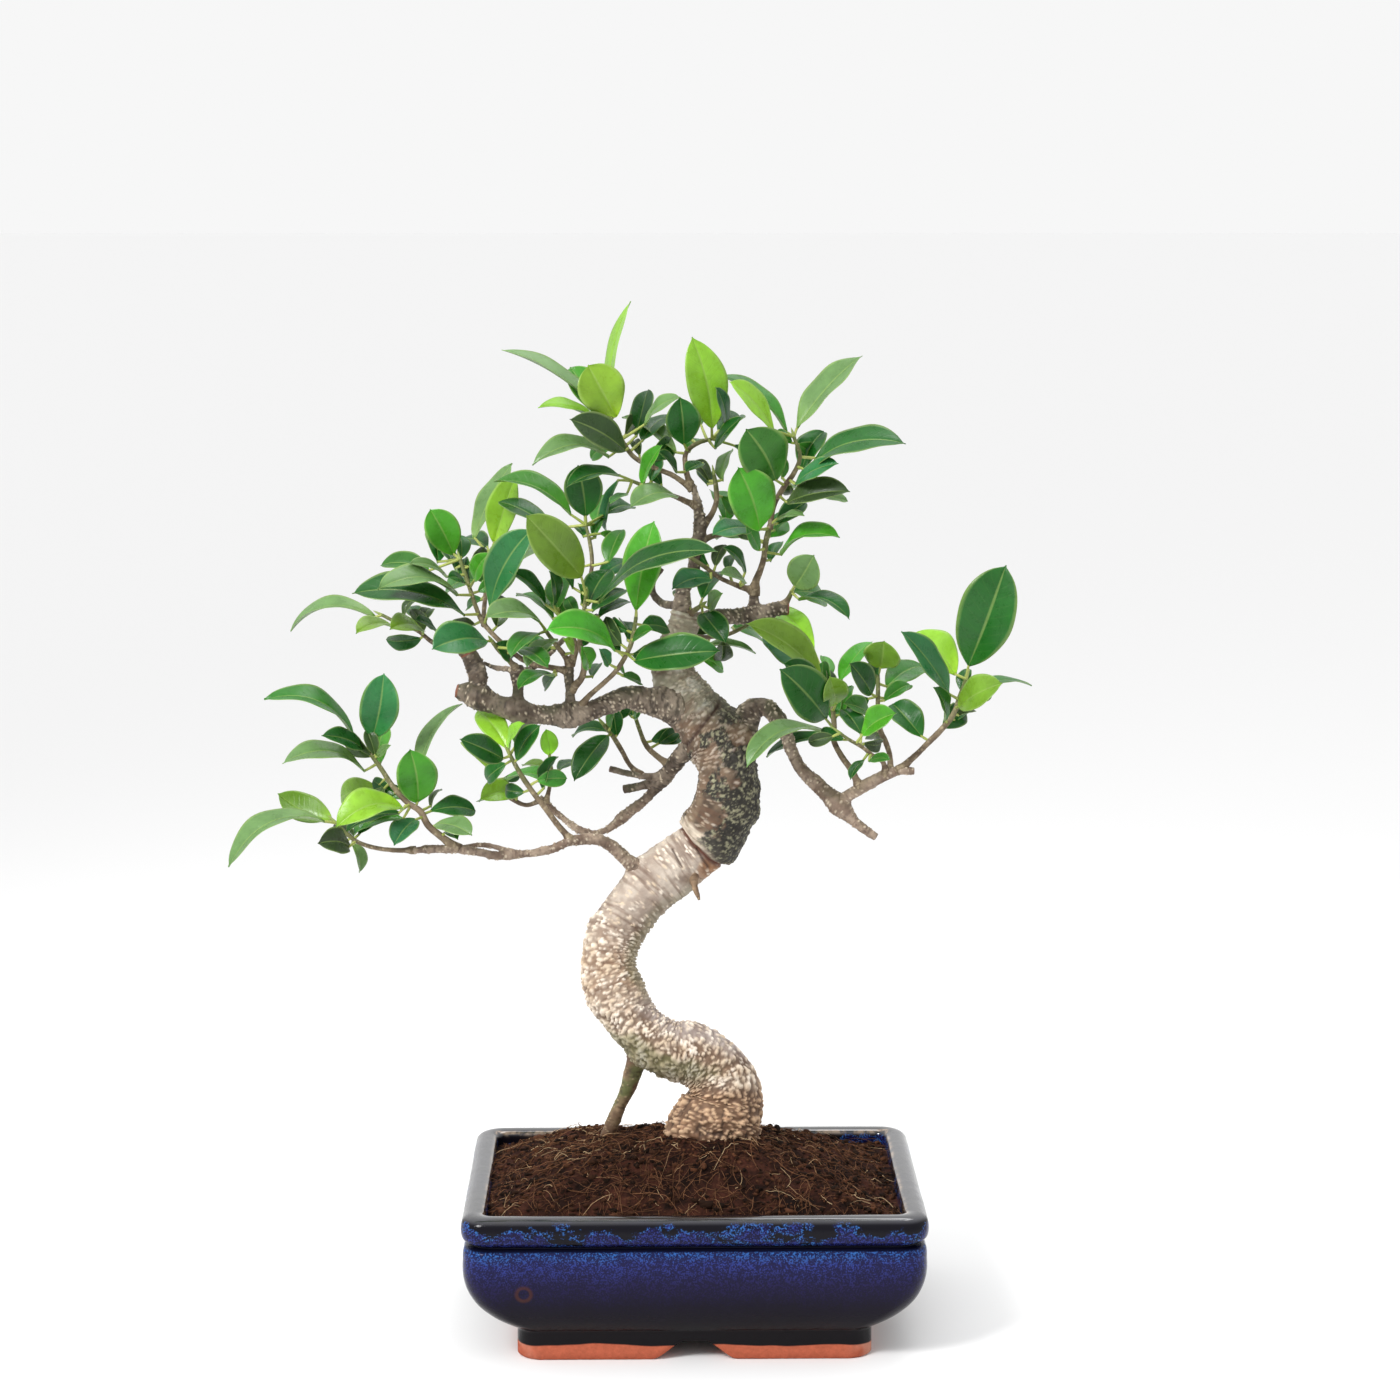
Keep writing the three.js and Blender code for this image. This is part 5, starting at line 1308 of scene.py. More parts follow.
def soil_level(x, y):
    """The soil's height: low at the pot's wall and heaped round the trunk, with lumps."""
    half_length, half_depth = opening()
    share = np.maximum(np.abs(x - SOIL["shift"] * 0.5) / half_length, np.abs(y) / half_depth)
    soft = (np.abs((x - SOIL["shift"]) / half_length) ** 3 + np.abs(y / half_depth) ** 3) ** (1 / 3)
    share = np.clip(0.5 * share + 0.5 * soft, 0, 1)
    wall_level = POT_SIZE[2] - SOIL["drop"]
    flat = np.stack([x, y, np.zeros_like(x)], axis=-1)
    heap = wall_level + SOIL["mound"] * (1 - share ** 2.2)
    foot_x, foot_y = TRUNK_STEMS[0][2][:2]
    heap = heap + SOIL["collar"] * step(42, 10, np.hypot(x - foot_x, y - foot_y + 18))
    lumps = layered_noise(flat, 16, 5, 21, 0.62) * 2.4 + np.abs(layered_noise(flat, 4, 3, 27, 0.7)) * 1.5
    return heap + lumps * step(1.02, 0.9, share) - 1.0


def make_soil():
    """The heap of peat: a fine sheet of lumps with a block under it."""
    ring = rounded_ring(*opening(-0.1), 6, 150, 100, 6)
    shares = (np.linspace(0.0, 1, 150)[1:] ** 0.8)[::-1]
    sheet = shares[:, None, None] * ring[None]
    z = soil_level(sheet[..., 0], sheet[..., 1])
    surface = np.concatenate([sheet, z[..., None]], axis=-1)
    below = pot_rings([(0.7, POT["recess"] + POT["floor"] + 2, POT["wall"] + 3)])[0][:, :2]
    scale = np.abs(below).max(axis=0) / np.abs(ring).max(axis=0)
    bottom = np.column_stack([ring * scale, np.full(len(ring), POT["recess"] + POT["floor"] + 2.0)])
    middle = np.column_stack([ring * 0.985, np.full(len(ring), 45.0)])
    top = [0, 0, float(soil_level(np.array(0.0), np.array(0.0)))]
    rows = np.concatenate([[bottom, middle], surface])
    points, quads, triangles = closed_rings(rows, [0, 0, bottom[0, 2]], top)
    tints = mottled(points, (0.008, 0.0035, 0.0025), (0.052, 0.0175, 0.0105), 9, 5, 31, -0.35, 0.45, 0.7)
    tints = blend(tints, (0.090, 0.036, 0.019), step(0.30, 0.70, layered_noise(points, 3, 3, 37)))
    skin = Skin()
    skin.add(points, quads, triangles, tints=tints)
    skin.object("peat_bed", [PEAT], "soil", ["soil"])


def scatter_places(count):
    """Places on the soil, spread evenly inside the pot's opening."""
    half_length, half_depth = opening(2)
    return rng.uniform(-half_length, half_length, count), rng.uniform(-half_depth, half_depth, count)


def make_crumbs(count=4000):
    """Loose crumbs: little lumpy balls of a few dozen faces, half sunk in the soil."""
    skin = Skin()
    x, y = scatter_places(count)
    size = rng.gamma(2.0, 0.26, count) + 0.3
    z = soil_level(x, y) + size * 0.25
    rows, sides = 5, 6
    polar = np.linspace(0.0, np.pi, rows)[:, None]
    turn = (np.arange(sides) / sides * 2 * np.pi)[None]
    ball = np.stack([np.sin(polar) * np.cos(turn), np.sin(polar) * np.sin(turn),
                     np.cos(polar) * np.ones_like(turn)], axis=-1)[::-1]
    dark, spin = rng.uniform(0, 1, count), rng.uniform(0, np.pi, count)
    for i in range(count):
        lumpy = ball * (1 + 0.65 * noise(ball * 1.5 + i * 7.0, 1.0, 41)[..., None])
        shape = np.array([1.25, 0.8, 0.65]) * size[i]
        turned = lumpy.reshape(-1, 3) * shape
        cos, sin = math.cos(spin[i]), math.sin(spin[i])
        points = turned @ np.array([[cos, sin, 0], [-sin, cos, 0], [0, 0, 1]]) + [x[i], y[i], z[i]]
        tint = blend((0.010, 0.005, 0.003), (0.105, 0.042, 0.021), dark[i] ** 2.2)
        skin.add(points, grid_faces(rows, sides, wrap=True), tints=np.tile(tint, (len(points), 1)))
    skin.object("peat_crumbs", [PEAT], "soil")


def make_fibres(name, count, length, radius, colours, steps=9):
    """Root fibres that lie on the soil: each is a thin tube that wanders and follows the lumps."""
    skin = Skin()
    x, y = scatter_places(count)
    heading = rng.uniform(0, 2 * np.pi, count)
    bend = rng.normal(0, 0.9, count)
    curl = rng.normal(0, 0.17, (count, steps))
    reach = rng.gamma(4.0, length / 4.0, count)
    thick = radius * rng.uniform(0.6, 1.3, count)
    raised = rng.uniform(0, 1, count) ** 3 * 2.5
    shade = rng.uniform(0, 1, count)
    half_length, half_depth = opening(0.8)
    share = np.linspace(0, 1, steps)
    for i in range(count):
        angle = heading[i] + bend[i] * share + np.cumsum(curl[i])
        stride = reach[i] / steps
        px = np.clip(x[i] + np.cumsum(np.cos(angle)) * stride, -half_length, half_length)
        py = np.clip(y[i] + np.cumsum(np.sin(angle)) * stride, -half_depth, half_depth)
        pz = soil_level(px, py) + 0.35 + raised[i] * np.sin(np.pi * share)
        path = np.column_stack([px, py, pz])
        points, quads, triangles, _ = tube(path, thick[i] * (1 - 0.6 * share), 4)
        tint = blend(colours[0], colours[1], shade[i])
        skin.add(points, quads, triangles, tints=np.tile(tint, (len(points), 1)))
    skin.object(name, [FIBRE], "soil")


# ------------------------------------------------------------------ wood

SWELLINGS = [  # x, y, z, reach, height: knots, old scars and root flare on the trunk
    (-51, -2, 194, 4, 1.8), (-53, -4, 166, 5, 1.0), (-26, -18, 139, 7, 1.0), (2, 2, 148, 7, 2.4),
    (-2, -22, 100, 7, 1.8), (22, -24, 97, 6, 1.4), (10, -26, 90, 6, 1.4), (36, -8, 96, 8, 1.4),
    (-8, -6, 92, 8, 2.6), (31, -3, 249, 5, 2.2), (34, -3, 262, 5, 1.4), (1, -12, 224, 3, 1.4),
    (-20, -12, 316, 5, 1.0), (24, -14, 277, 5, 1.4), (29, -9, 285, 6, 2.0), (-14, -14, 300, 5, 1.2),
]
CREASES = [  # x, z, x, z, half width, depth: creases cut across the front of the trunk, darkened there with painted shade
    (13.5, 303, -4, 281, 1.1, 1.5), (-10, 231, -5, 222, 0.6, 0.5), (2, 231, 8, 222, 0.7, 0.9),
]
GRAFT = {"x": 4.5, "z": 235, "lip": 2.4}  # where the old graft crosses the trunk's middle line


def outside(points, stems):
    """Distance of points outside the round tapering stems; negative inside them."""
    best = np.full(points.shape[:-1], 1e3)
    for stem in stems:
        stem = drawn(stem)
        for a, b in zip(stem[:-1], stem[1:]):
            along = b[:3] - a[:3]
            share = np.clip(((points - a[:3]) @ along) / along.dot(along), 0, 1)
            away = np.linalg.norm(points - a[:3] - share[..., None] * along, axis=-1)
            best = np.minimum(best, away - (a[3] + (b[3] - a[3]) * share))
    return best


def seam_away(points, x0, z0, x1, z1):
    """Distance from a line from one place to another, as seen from the front."""
    start, line = np.array([x0, z0]), np.array([x1 - x0, z1 - z0])
    flat = points[..., [0, 2]] - start
    share = np.clip((flat @ line) / line.dot(line), 0, 1)
    return np.linalg.norm(flat - share[..., None] * line, axis=-1)


def wood_surface(path, sides, rough, others, web):
    """A stem's skin: round rings pushed out by lobes, swellings, cross wrinkles and corky pores, and
    webbed to the other stems it leaves. Returns the points and the masks that colour it."""
    centres, sizes = path[:, :3], path[:, 3]
    points, _, _, out = tube(centres, sizes, sides)
    rings = points[:-2].reshape(len(path), sides, 3)
    reach = np.concatenate([[0], np.cumsum(np.linalg.norm(np.diff(centres, axis=0), axis=1))])
    angle = np.arange(sides) / sides * 2 * np.pi
    drum = np.stack(np.broadcast_arrays(
        np.cos(angle)[None] * sizes[:, None], np.sin(angle)[None] * sizes[:, None], reach[:, None]
    ), axis=-1)
    drum = drum + noise(rings, 9, 49)[..., None] * [0, 0, 1.2]
    broad = layered_noise(rings, 26, 2, 51) * 0.06 * sizes[:, None]
    knobs = layered_noise(rings, 8, 3, 55)
    stout = sizes.max() > STOUT
    wrinkle = layered_noise(drum, (16, 16, 1.5) if stout else (2.6, 2.6, 1.1), 3, 61)
    bar_away, bar_number = cells(drum, (4.4, 4.4, 1.7) if stout else (1.9, 1.9, 1.3), 63)
    crowd = layered_noise(rings, 18, 2, 65)
    pore = step(0.50, 0.25, bar_away) * (bar_number < (0.5 if stout else 0.34) + 0.5 * crowd)
    grain = layered_noise(rings, 1.6, 2, 71)
    masks = {"out": out, "wrinkle": wrinkle, "knobs": knobs}
    height = broad + (knobs * 0.6 + wrinkle * 0.22 + grain * 0.16) * rough
    if stout:
        z = rings[..., 2]
        # rounded pebbles of cork crowd the low trunk, and thin out upwards
        warped = drum + layered_noise(rings, 3.5, 2, 74)[..., None] * [0.9, 0.9, 0.5]
        big_away, big_number = cells(warped, (4.8, 4.8, 2.1), 73)
        small_away, small_number = cells(warped, (2.4, 2.4, 1.7), 79)
        root = step(116, 106, z)
        zone = step(158, 140, z) + step(215, 165, z) * 0.62 + step(235, 205, z) * 0.12
        zone = np.clip(np.maximum(zone, step(262, 275, z) * 0.30), 0, 1) * (1 - 0.45 * root)
        bare = step(-0.1, 0.5, out[..., 2]) * step(118, 128, z) * step(165, 150, z)
        zone = zone * (1 - 0.7 * bare)
        kept = 0.20 + 0.75 * zone + 0.35 * crowd
        # each pebble has its own size, and a gap round it, sunk a little and darkened with painted shade
        big = step(0.36 + 0.30 * big_number, 0.16 + 0.22 * big_number, big_away) * (big_number < kept)
        small = step(0.55, 0.30, small_away) * (small_number < kept - 0.1)
        pebble = np.maximum(big, small * 0.85) * step(0.06, 0.35, zone)
        masks["gap"] = step(0.12, 0.5, zone) * (1 - pebble) * step(0.30, 0.55, np.minimum(big_away, 0.9))
        pore = np.maximum(pore * (1 - 0.8 * step(0.2, 0.6, zone)) * (1 - root), pebble)
        height = height + pebble * 0.50 - masks["gap"] * 0.25
        # the foot of the trunk has long upright cracks instead
        upright = np.stack([out[..., 0] * 22, out[..., 1] * 22, z * 0.22], axis=-1)
        crack = np.abs(layered_noise(upright, 4.5, 3, 111))
        masks["crack"] = root * step(0.10, 0.02, crack)
        height = height - masks["crack"] * 0.6 + root * 1.3 * knobs
        for x, y, zz, near, tall in SWELLINGS:
            away = np.linalg.norm(rings - drawn([x, y, zz]), axis=-1)
            height = height + tall * np.exp(-(away / near) ** 2)
        masks["seam"] = np.zeros(z.shape)
        for x0, z0, x1, z1, half, deep in CREASES:
            cut = np.exp(-(seam_away(rings, x0, z0, x1, z1) / half) ** 2) * (out[..., 1] < 0.1)
            height = height - deep * cut
            masks["seam"] = np.maximum(masks["seam"], cut)
        at_graft = reach[np.hypot(centres[:, 0] - GRAFT["x"], centres[:, 2] - GRAFT["z"]).argmin()]
        past = reach[:, None] - at_graft + 1.6 * layered_noise(rings, 9, 3, 77)
        masks["past"] = past
        height = height + GRAFT["lip"] * step(-0.5, 1.0, past) * step(17, 3, past)
        height = height - 1.2 * np.exp(-((past + 1.0) / 1.0) ** 2)
        moss = layered_noise(rings, 11, 5, 87, 0.7) * 2.1 + 0.75 * out[..., 0] - 0.15 * out[..., 2] - 0.05
        moss = step(-0.05, 0.30, moss + 0.45 * step(284, 262, z))
        masks["moss"] = moss * step(-4, 3, past + 5 * (out[..., 0] - 0.4)) * step(325, 290, z)
        height = height + masks["moss"] * (0.9 * np.abs(layered_noise(rings, 2.6, 3, 89)) + 0.3 * knobs)
        masks["zone"] = zone
    height = height + pore * 0.32 * rough
    if others:
        away = outside(rings, others)
        height = height + web / 4 * np.clip(1 - np.abs(away) / web, 0, 1) ** 2
    masks["pore"] = pore
    return rings + out * height[..., None], masks


def stem_skin(skin, path, sides, colour, rough=1.0, others=(), web=8):
    """Adds one stem of wood to a skin, coloured by colour(points, masks)."""
    rings, masks = wood_surface(path, sides, rough, others, web)
    tip = path[-1, :3] + (path[-1, :3] - path[-2, :3]) * path[-1, 3] * 0.25
    points, quads, triangles = closed_rings(rings, path[0, :3], tip)
    cut_face = (0.20, 0.070, 0.038)
    tints = colour(rings, masks)
    if path[-1, 3] > 2.5:  # sawn end: red-brown over the last half millimetre of the bark too
        tints[-2:] = cut_face
    tints = tints.reshape(-1, 3)
    tints = np.concatenate([tints, [cut_face, cut_face]])
    skin.add(points, quads, triangles, tints=tints)


def trunk_colour(points, masks):
    """Pebbled tan bark low down, pale grey skin above it up to the graft, then dark mossy bark."""
    z, out, pore, past = points[..., 2], masks["out"], masks["pore"], masks["past"]
    skin = mottled(points, (0.38, 0.260, 0.175), (0.62, 0.500, 0.390), 11, 3, 81, -0.4)
    grey = mottled(points, (0.36, 0.285, 0.230), (0.56, 0.480, 0.400), 10, 4, 83, -0.4, 0.4, 0.6)
    skin = blend(skin, grey, step(0.75, 0.2, masks["zone"]) * step(125, 150, z))
    top_side = step(0.1, 0.7, out[..., 2]) * step(118, 126, z) * step(160, 148, z)
    skin = blend(skin, (0.43, 0.370, 0.345), top_side * 0.9)
    rust = step(-0.1, 0.4, layered_noise(points, 9, 3, 85) + out[..., 0] * 0.7 - 0.02)
    skin = blend(skin, (0.33, 0.150, 0.055), rust * step(-22, -3, past) * step(0, -3, past) * 0.85)
    bark = mottled(points, (0.150, 0.066, 0.030), (0.520, 0.310, 0.180), 7, 4, 113, -0.4)
    skin = blend(skin, bark, step(116, 106, z) * 0.9)
    upper = mottled(points, (0.055, 0.033, 0.018), (0.205, 0.142, 0.090), 8, 3, 97)
    upper = blend(upper, (0.310, 0.290, 0.210), step(290, 304, z) * 0.85)
    lichen = step(0.1, 0.5, layered_noise(points, 7, 3, 98)) * step(290, 304, z)
    upper = blend(upper, (0.680, 0.660, 0.590), lichen * 0.5)
    tint = blend(skin, upper, step(-0.5, 1.0, past))
    # painted highlight: the raised lip above the graft is made pale, except where it faces right
    lip = step(0.2, 1.2, past) * step(10, 6, past + 4 * masks["knobs"])
    tint = blend(tint, (0.62, 0.530, 0.420), lip * step(0.80, 0.20, out[..., 0]) * 0.9)
    # painted shade: the wrinkle troughs, the hollows between knobs, the gaps round the pebbles and the foot's
    # cracks are darkened
    tint = blend(tint, (0.120, 0.060, 0.033), step(0.05, -0.45, masks["wrinkle"]) * 0.6)
    tint = blend(tint, (0.110, 0.055, 0.030), step(-0.12, -0.5, masks["knobs"]) * 0.45)
    tint = blend(tint, (0.090, 0.044, 0.021), masks["gap"] * (0.45 + 0.30 * step(160, 140, z)))
    tint = blend(tint, (0.025, 0.012, 0.007), masks["crack"] * 0.7)
    # pale cork on the pores and pebbles: the pores' own colour, and on the raised pebbles partly a painted
    # highlight
    cork = mottled(points, (0.62, 0.490, 0.350), (0.90, 0.800, 0.680), 5, 2, 99, -0.4)
    cork = blend(cork, (0.58, 0.390, 0.240), step(116, 106, z))
    tint = blend(tint, cork, pore * (1 - 0.60 * step(0, 4, past)) * 0.92)
    fleck = np.abs(layered_noise(points, 2.6, 3, 103, 0.8))
    green = blend((0.009, 0.009, 0.006), (0.270, 0.260, 0.160), step(0.15, 0.42, fleck))
    tint = blend(tint, green, masks["moss"] * 0.93)
    low_green = step(0.0, 0.5, -out[..., 2] + layered_noise(points, 12, 2, 105) * 0.7)
    tint = blend(tint, (0.130, 0.140, 0.050), low_green * step(110, 120, z) * step(152, 136, z) * 0.6)
    left_green = step(0.35, 0.8, out[..., 0] + layered_noise(points, 14, 3, 106) * 0.5)
    tint = blend(tint, (0.170, 0.165, 0.080), left_green * step(150, 165, z) * step(232, 205, z) * 0.5)
    tint = blend(tint, (0.100, 0.024, 0.010), np.exp(-((past + 0.9) / 1.6) ** 2) * 0.95)
    # painted shade: the creases are darkened
    return blend(tint, (0.045, 0.018, 0.010), masks["seam"] * 0.9)


def branch_colour(points, masks):
    """Darker brown-grey bark with pale pores and mossy upper sides."""
    tint = mottled(points, (0.055, 0.035, 0.022), (0.270, 0.215, 0.160), 7, 4, 91, keep=0.6)
    # painted shade: the troughs of the wrinkles are darkened
    tint = blend(tint, (0.022, 0.014, 0.009), step(0.05, -0.45, masks["wrinkle"]) * 0.75)
    green = step(0.0, 0.6, layered_noise(points, 10, 2, 93) + masks["out"][..., 2] * 0.3)
    tint = blend(tint, (0.070, 0.075, 0.034), green * 0.5)
    x, z = points[..., 0], points[..., 2]
    young = np.maximum(step(42, 62, x), step(262, 250, z) * step(-8, -30, x))
    tint = blend(tint, tint * 0.95 + np.array([0.120, 0.080, 0.058]), young * 0.85)
    return blend(tint, (0.56, 0.470, 0.350), masks["pore"] * 0.85)


def twig_colour(points, masks):
    """Thin twigs: grey-brown at the foot of the twig, olive green towards its leaves."""
    tint = mottled(points, (0.10, 0.066, 0.038), (0.22, 0.165, 0.100), 4, 2, 95)
    share = np.linspace(0, 1, len(points))[:, None] * np.ones(points.shape[1])
    tint = blend(tint, (0.115, 0.150, 0.035), step(0.45, 1.0, share) * 0.85)
    return blend(tint, (0.42, 0.340, 0.220), masks["pore"] * 0.6)


def make_wood():
    """The trunk in two lengths that meet at the graft, its aerial root, and each branch."""
    whole = smooth_path(drawn(TRUNK_STEMS[0]), RING_GAP)
    graft = np.hypot(whole[:, 0] - GRAFT["x"], whole[:, 2] - GRAFT["z"]).argmin()
    limbs = [stem for stems in BRANCHES.values() for stem in stems]
    lower, upper = Skin(), Skin()
    rings, masks = wood_surface(whole, 190, 1.0, [*limbs, TRUNK_STEMS[1]], 9)
    tints = trunk_colour(rings, masks)
    for skin, part in ((lower, slice(0, graft + 1)), (upper, slice(graft, None))):
        faces = closed_rings(rings[part], whole[part][0, :3], whole[part][-1, :3])
        colours = np.concatenate([tints[part].reshape(-1, 3), [(0.1, 0.05, 0.03)] * 2])
        skin.add(*faces, tints=colours)
    stem_skin(lower, smooth_path(drawn(TRUNK_STEMS[1]), RING_GAP), 44, root_colour, 0.8, [TRUNK_STEMS[0]])
    for foot, toe in ROOTS:
        stem_skin(lower, smooth_path(drawn([foot, *toe]), RING_GAP), 20, root_colour, 0.5)
    stem_skin(lower, smooth_path(drawn(STUB), 0.4), 28, root_colour, 0.6, [TRUNK_STEMS[0]], 4)
    lower.object("lower_trunk", [BARK], "trunk_bark", ["trunk"], as_drawn=True)
    upper.object("upper_trunk", [BARK], "trunk_bark", ["trunk"], as_drawn=True)
    for name, stems in BRANCHES.items():
        skin = Skin()
        for stem in stems:
            thick = max(point[3] for point in stem)
            others = [TRUNK_STEMS[0], *(other for other in limbs if other is not stem)]
            sides, rough = (64, 1.45) if thick > 3.5 else (28, 0.8)
            stem_skin(skin, smooth_path(drawn(stem), RING_GAP), sides, branch_colour, rough, others,
                      9 if thick > 5 else 4)
        skin.object(name + "_bark", [BRANCH_BARK], "branch_bark", [name], as_drawn=True)


ROOTS = [  # thin side roots that spread over the soil from the aerial root and the trunk's foot
    ((-43, 10, 86, 2.4), ((-47, 4, 83.0, 1.5), (-51, -2, 80, 1.1), (-56, -6, 77.0, 0.7))),
    ((-43, 10, 86, 2.2), ((-39, 4, 84.0, 1.2), (-36, -2, 81.5, 0.8), (-34, -6, 80, 0.5))),
    ((-44, 11, 84, 2.0), ((-50, 13, 81, 1.2), (-56, 15, 78, 0.7))),
]
STUB = (  # a broken twig that hangs under the graft
    (0, -2, 222, 2.2), (1, -3, 216, 1.6), (1.5, -4, 211.5, 1.5), (3, -5, 207.5, 1.1), (3.6, -5, 205.5, 0.6),
)


def root_colour(points, masks):
    """Roots: brown with tan pores, greener above the soil."""
    tint = mottled(points, (0.110, 0.060, 0.032), (0.270, 0.180, 0.105), 5, 3, 107)
    mossy = step(90, 104, points[..., 2]) * step(160, 140, points[..., 2])
    mossy = mossy * step(-0.4, 0.3, layered_noise(points, 7, 2, 109))
    tint = blend(tint, (0.120, 0.135, 0.045), mossy * 0.85)
    # painted shade: the troughs of the wrinkles are darkened
    tint = blend(tint, (0.035, 0.020, 0.012), step(0.0, -0.5, masks["wrinkle"]) * 0.6)
    return blend(tint, (0.45, 0.330, 0.200), masks["pore"] * 0.6)


# ------------------------------------------------------------------ leaves


def nearest_on(stems, target):
    """The nearest point to a place on the middle lines of the twigs."""
    best = None
    for stem in stems:
        centres = stem[:, :3]
        start, along = centres[:-1], np.diff(centres, axis=0)
        share = np.clip(((target - start) * along).sum(1) / (along ** 2).sum(1), 0, 1)
        spots = start + along * share[:, None]
        gaps = np.linalg.norm(spots - target, axis=1)
        k = gaps.argmin()
        if best is None or gaps[k] < best[0]:
            best = (gaps[k], spots[k])
    return best[1]


def blade(base, tip, width, turn, arch, rows=26, columns=15):
    """A leaf blade. Its outline is v to a power times 1 - v to a power, widest a little past the
    middle; the middle line is a bow of the arch's height; the halves fold up a little from it; the
    edges wave.
    Returns the upper and lower points as a grid that closes round the edge, UVs and side shares."""
    chord = tip - base
    length = np.linalg.norm(chord)
    along = chord / length
    front = np.array([0.0, -1.0, 0.0])
    front = unit(front - along * front.dot(along))
    up = np.cross(along, front)
    up = -up if up[2] < 0 else up
    face = front * math.cos(math.radians(turn)) + up * math.sin(math.radians(turn))
    side = np.cross(along, face)

    v = np.linspace(0, 1, rows)
    v = 1 - (1 - v) ** 1.25
    curl = rng.uniform(0.0, 0.10) * length
    sway = rng.uniform(-0.04, 0.04) * length
    middle = (base + chord * v[:, None] + face * (arch * 4 * v * (1 - v))[:, None]
              - face * (curl * (v ** 4 - v))[:, None] * 0.5 + side * (sway * np.sin(np.pi * v))[:, None])
    tangent = unit(np.gradient(middle, axis=0))
    lift = np.cross(side, tangent)
    lift = unit(np.where((lift @ face)[:, None] > 0, lift, -lift))

    # tapered at the stalk, widest a little past the middle, and drawn out to a short point
    a, b = rng.uniform(0.80, 0.98), rng.uniform(0.62, 0.76)
    w = np.clip(v / 0.975, 0, 1)
    outline = w ** a * (1 - w) ** b / ((a / (a + b)) ** a * (b / (a + b)) ** b)
    point = 0.26 * np.clip((1 - v) / 0.10, 0, 1) * step(0.80, 0.9, v)
    half = np.maximum(width / 2 * np.maximum(outline, point), 0.22)
    t = np.linspace(-1, 1, columns)
    u = np.sign(t) * np.abs(t) ** 1.15
    fold = math.radians(rng.uniform(4, 20))
    wave = rng.uniform(0.01, 0.035) * width
    phase = rng.uniform(0, 2 * np.pi, 2)
    ripple = wave * np.sin(2 * np.pi * (2.2 * v[:, None] + np.where(u > 0, phase[0], phase[1]))) * u ** 2
    groove = -0.32 * np.exp(-(u * half[:, None] / 0.7) ** 2)
    raise_up = np.abs(u) * half[:, None] * math.sin(fold) + ripple + groove * step(0, 0.1, v)[:, None]
    upper = (middle[:, None] + side * (u * half[:, None] * math.cos(fold))[..., None]
             + lift[:, None] * raise_up[..., None])
    thick = BLADE_THICKNESS * (1 - 0.75 * np.abs(u) ** 4)[None] * np.ones((rows, 1))
    rib = 0.75 * np.exp(-(u * half[:, None] / 0.6) ** 2) * (1 - v)[:, None]
    lower = upper - lift[:, None] * (thick + rib)[..., None]
    loop = np.concatenate([upper, lower[:, ::-1]], axis=1)
    uv_upper = np.stack(np.broadcast_arrays(0.5 + u[None] / 2, v[:, None]), axis=-1)
    uvs = np.concatenate([uv_upper, uv_upper[:, ::-1]], axis=1)
    below = np.concatenate([np.zeros((rows, columns)), np.ones((rows, columns))], axis=1)
    return loop, uvs, below


def leaf_tints(uvs, below, points, tone):
    """A leaf's colours: its tone above, a paler grey-green below, a thin pale margin, cloudy."""
    above = np.array(TONES[tone])
    above = above * rng.uniform(0.85, 1.2) * (1 + rng.normal(0, 0.05, 3))
    paler = above * 0.30 + np.array([0.115, 0.215, 0.060]) * (0.8 if tone in "dtn" else 1.0)
    if tone == "p":
        above, paler = np.array(TONES["p"]), np.array([0.16, 0.29, 0.095])
    tint = blend(above, paler, below)
    cloud = layered_noise(points, 13, 3, 101)
    tint = tint * (1 + 0.22 * cloud[..., None])
    near_stalk = step(0.40, 0.0, uvs[..., 1])
    tint = blend(tint, tint * [1.5, 1.35, 1.1], near_stalk)
    edge = step(0.455, 0.5, np.abs(uvs[..., 0] - 0.5))
    return blend(tint, blend(tint, (0.38, 0.52, 0.16), 0.55), edge)


def add_leaf(skin, stems, leaf, tone):
    """Adds one leaf to a skin: its blade, and its stalk curving in from the twig."""
    leaf = np.array(leaf, float)
    base, tip = leaf[:3] * [1, SPREAD, 1], leaf[3:6] * [1, SPREAD, 1]
    width, turn, arch = leaf[6:]
    loop, uvs, below = blade(base, tip, width * BLADE_WIDENING, turn, arch)
    points, quads, triangles = closed_rings(loop, loop[0].mean(0), loop[-1].mean(0))
    normal = np.cross(loop[8, 4] - loop[8, 2], loop[10, 3] - loop[8, 3])
    outward = loop[8, 3] - loop[8, -4]
    if normal.dot(outward) < 0:
        quads, triangles = quads[:, ::-1], triangles[:, ::-1]
    all_uvs = np.concatenate([uvs.reshape(-1, 2), [[0.5, 0], [0.5, 1]]])
    all_below = np.concatenate([below.ravel(), [0.5, 0.5]])
    skin.add(points, quads, triangles, all_uvs, leaf_tints(all_uvs, all_below, points, tone))

    root = nearest_on(stems, base)
    end = base + unit(tip - base) * 0.8
    share = np.linspace(0, 1, 9)[:, None]
    knee = root + unit(base - root) * np.linalg.norm(base - root) * 0.5
    path = (1 - share) ** 2 * root + 2 * share * (1 - share) * knee + share ** 2 * end
    points, quads, triangles, _ = tube(path, STALK_RADIUS * (1.5 - 0.4 * share[:, 0]), 8)
    green = blend((0.24, 0.300, 0.050), (0.40, 0.440, 0.110), rng.uniform())
    skin.add(points, quads, triangles, tints=np.tile(green, (len(points), 1)), material=1)


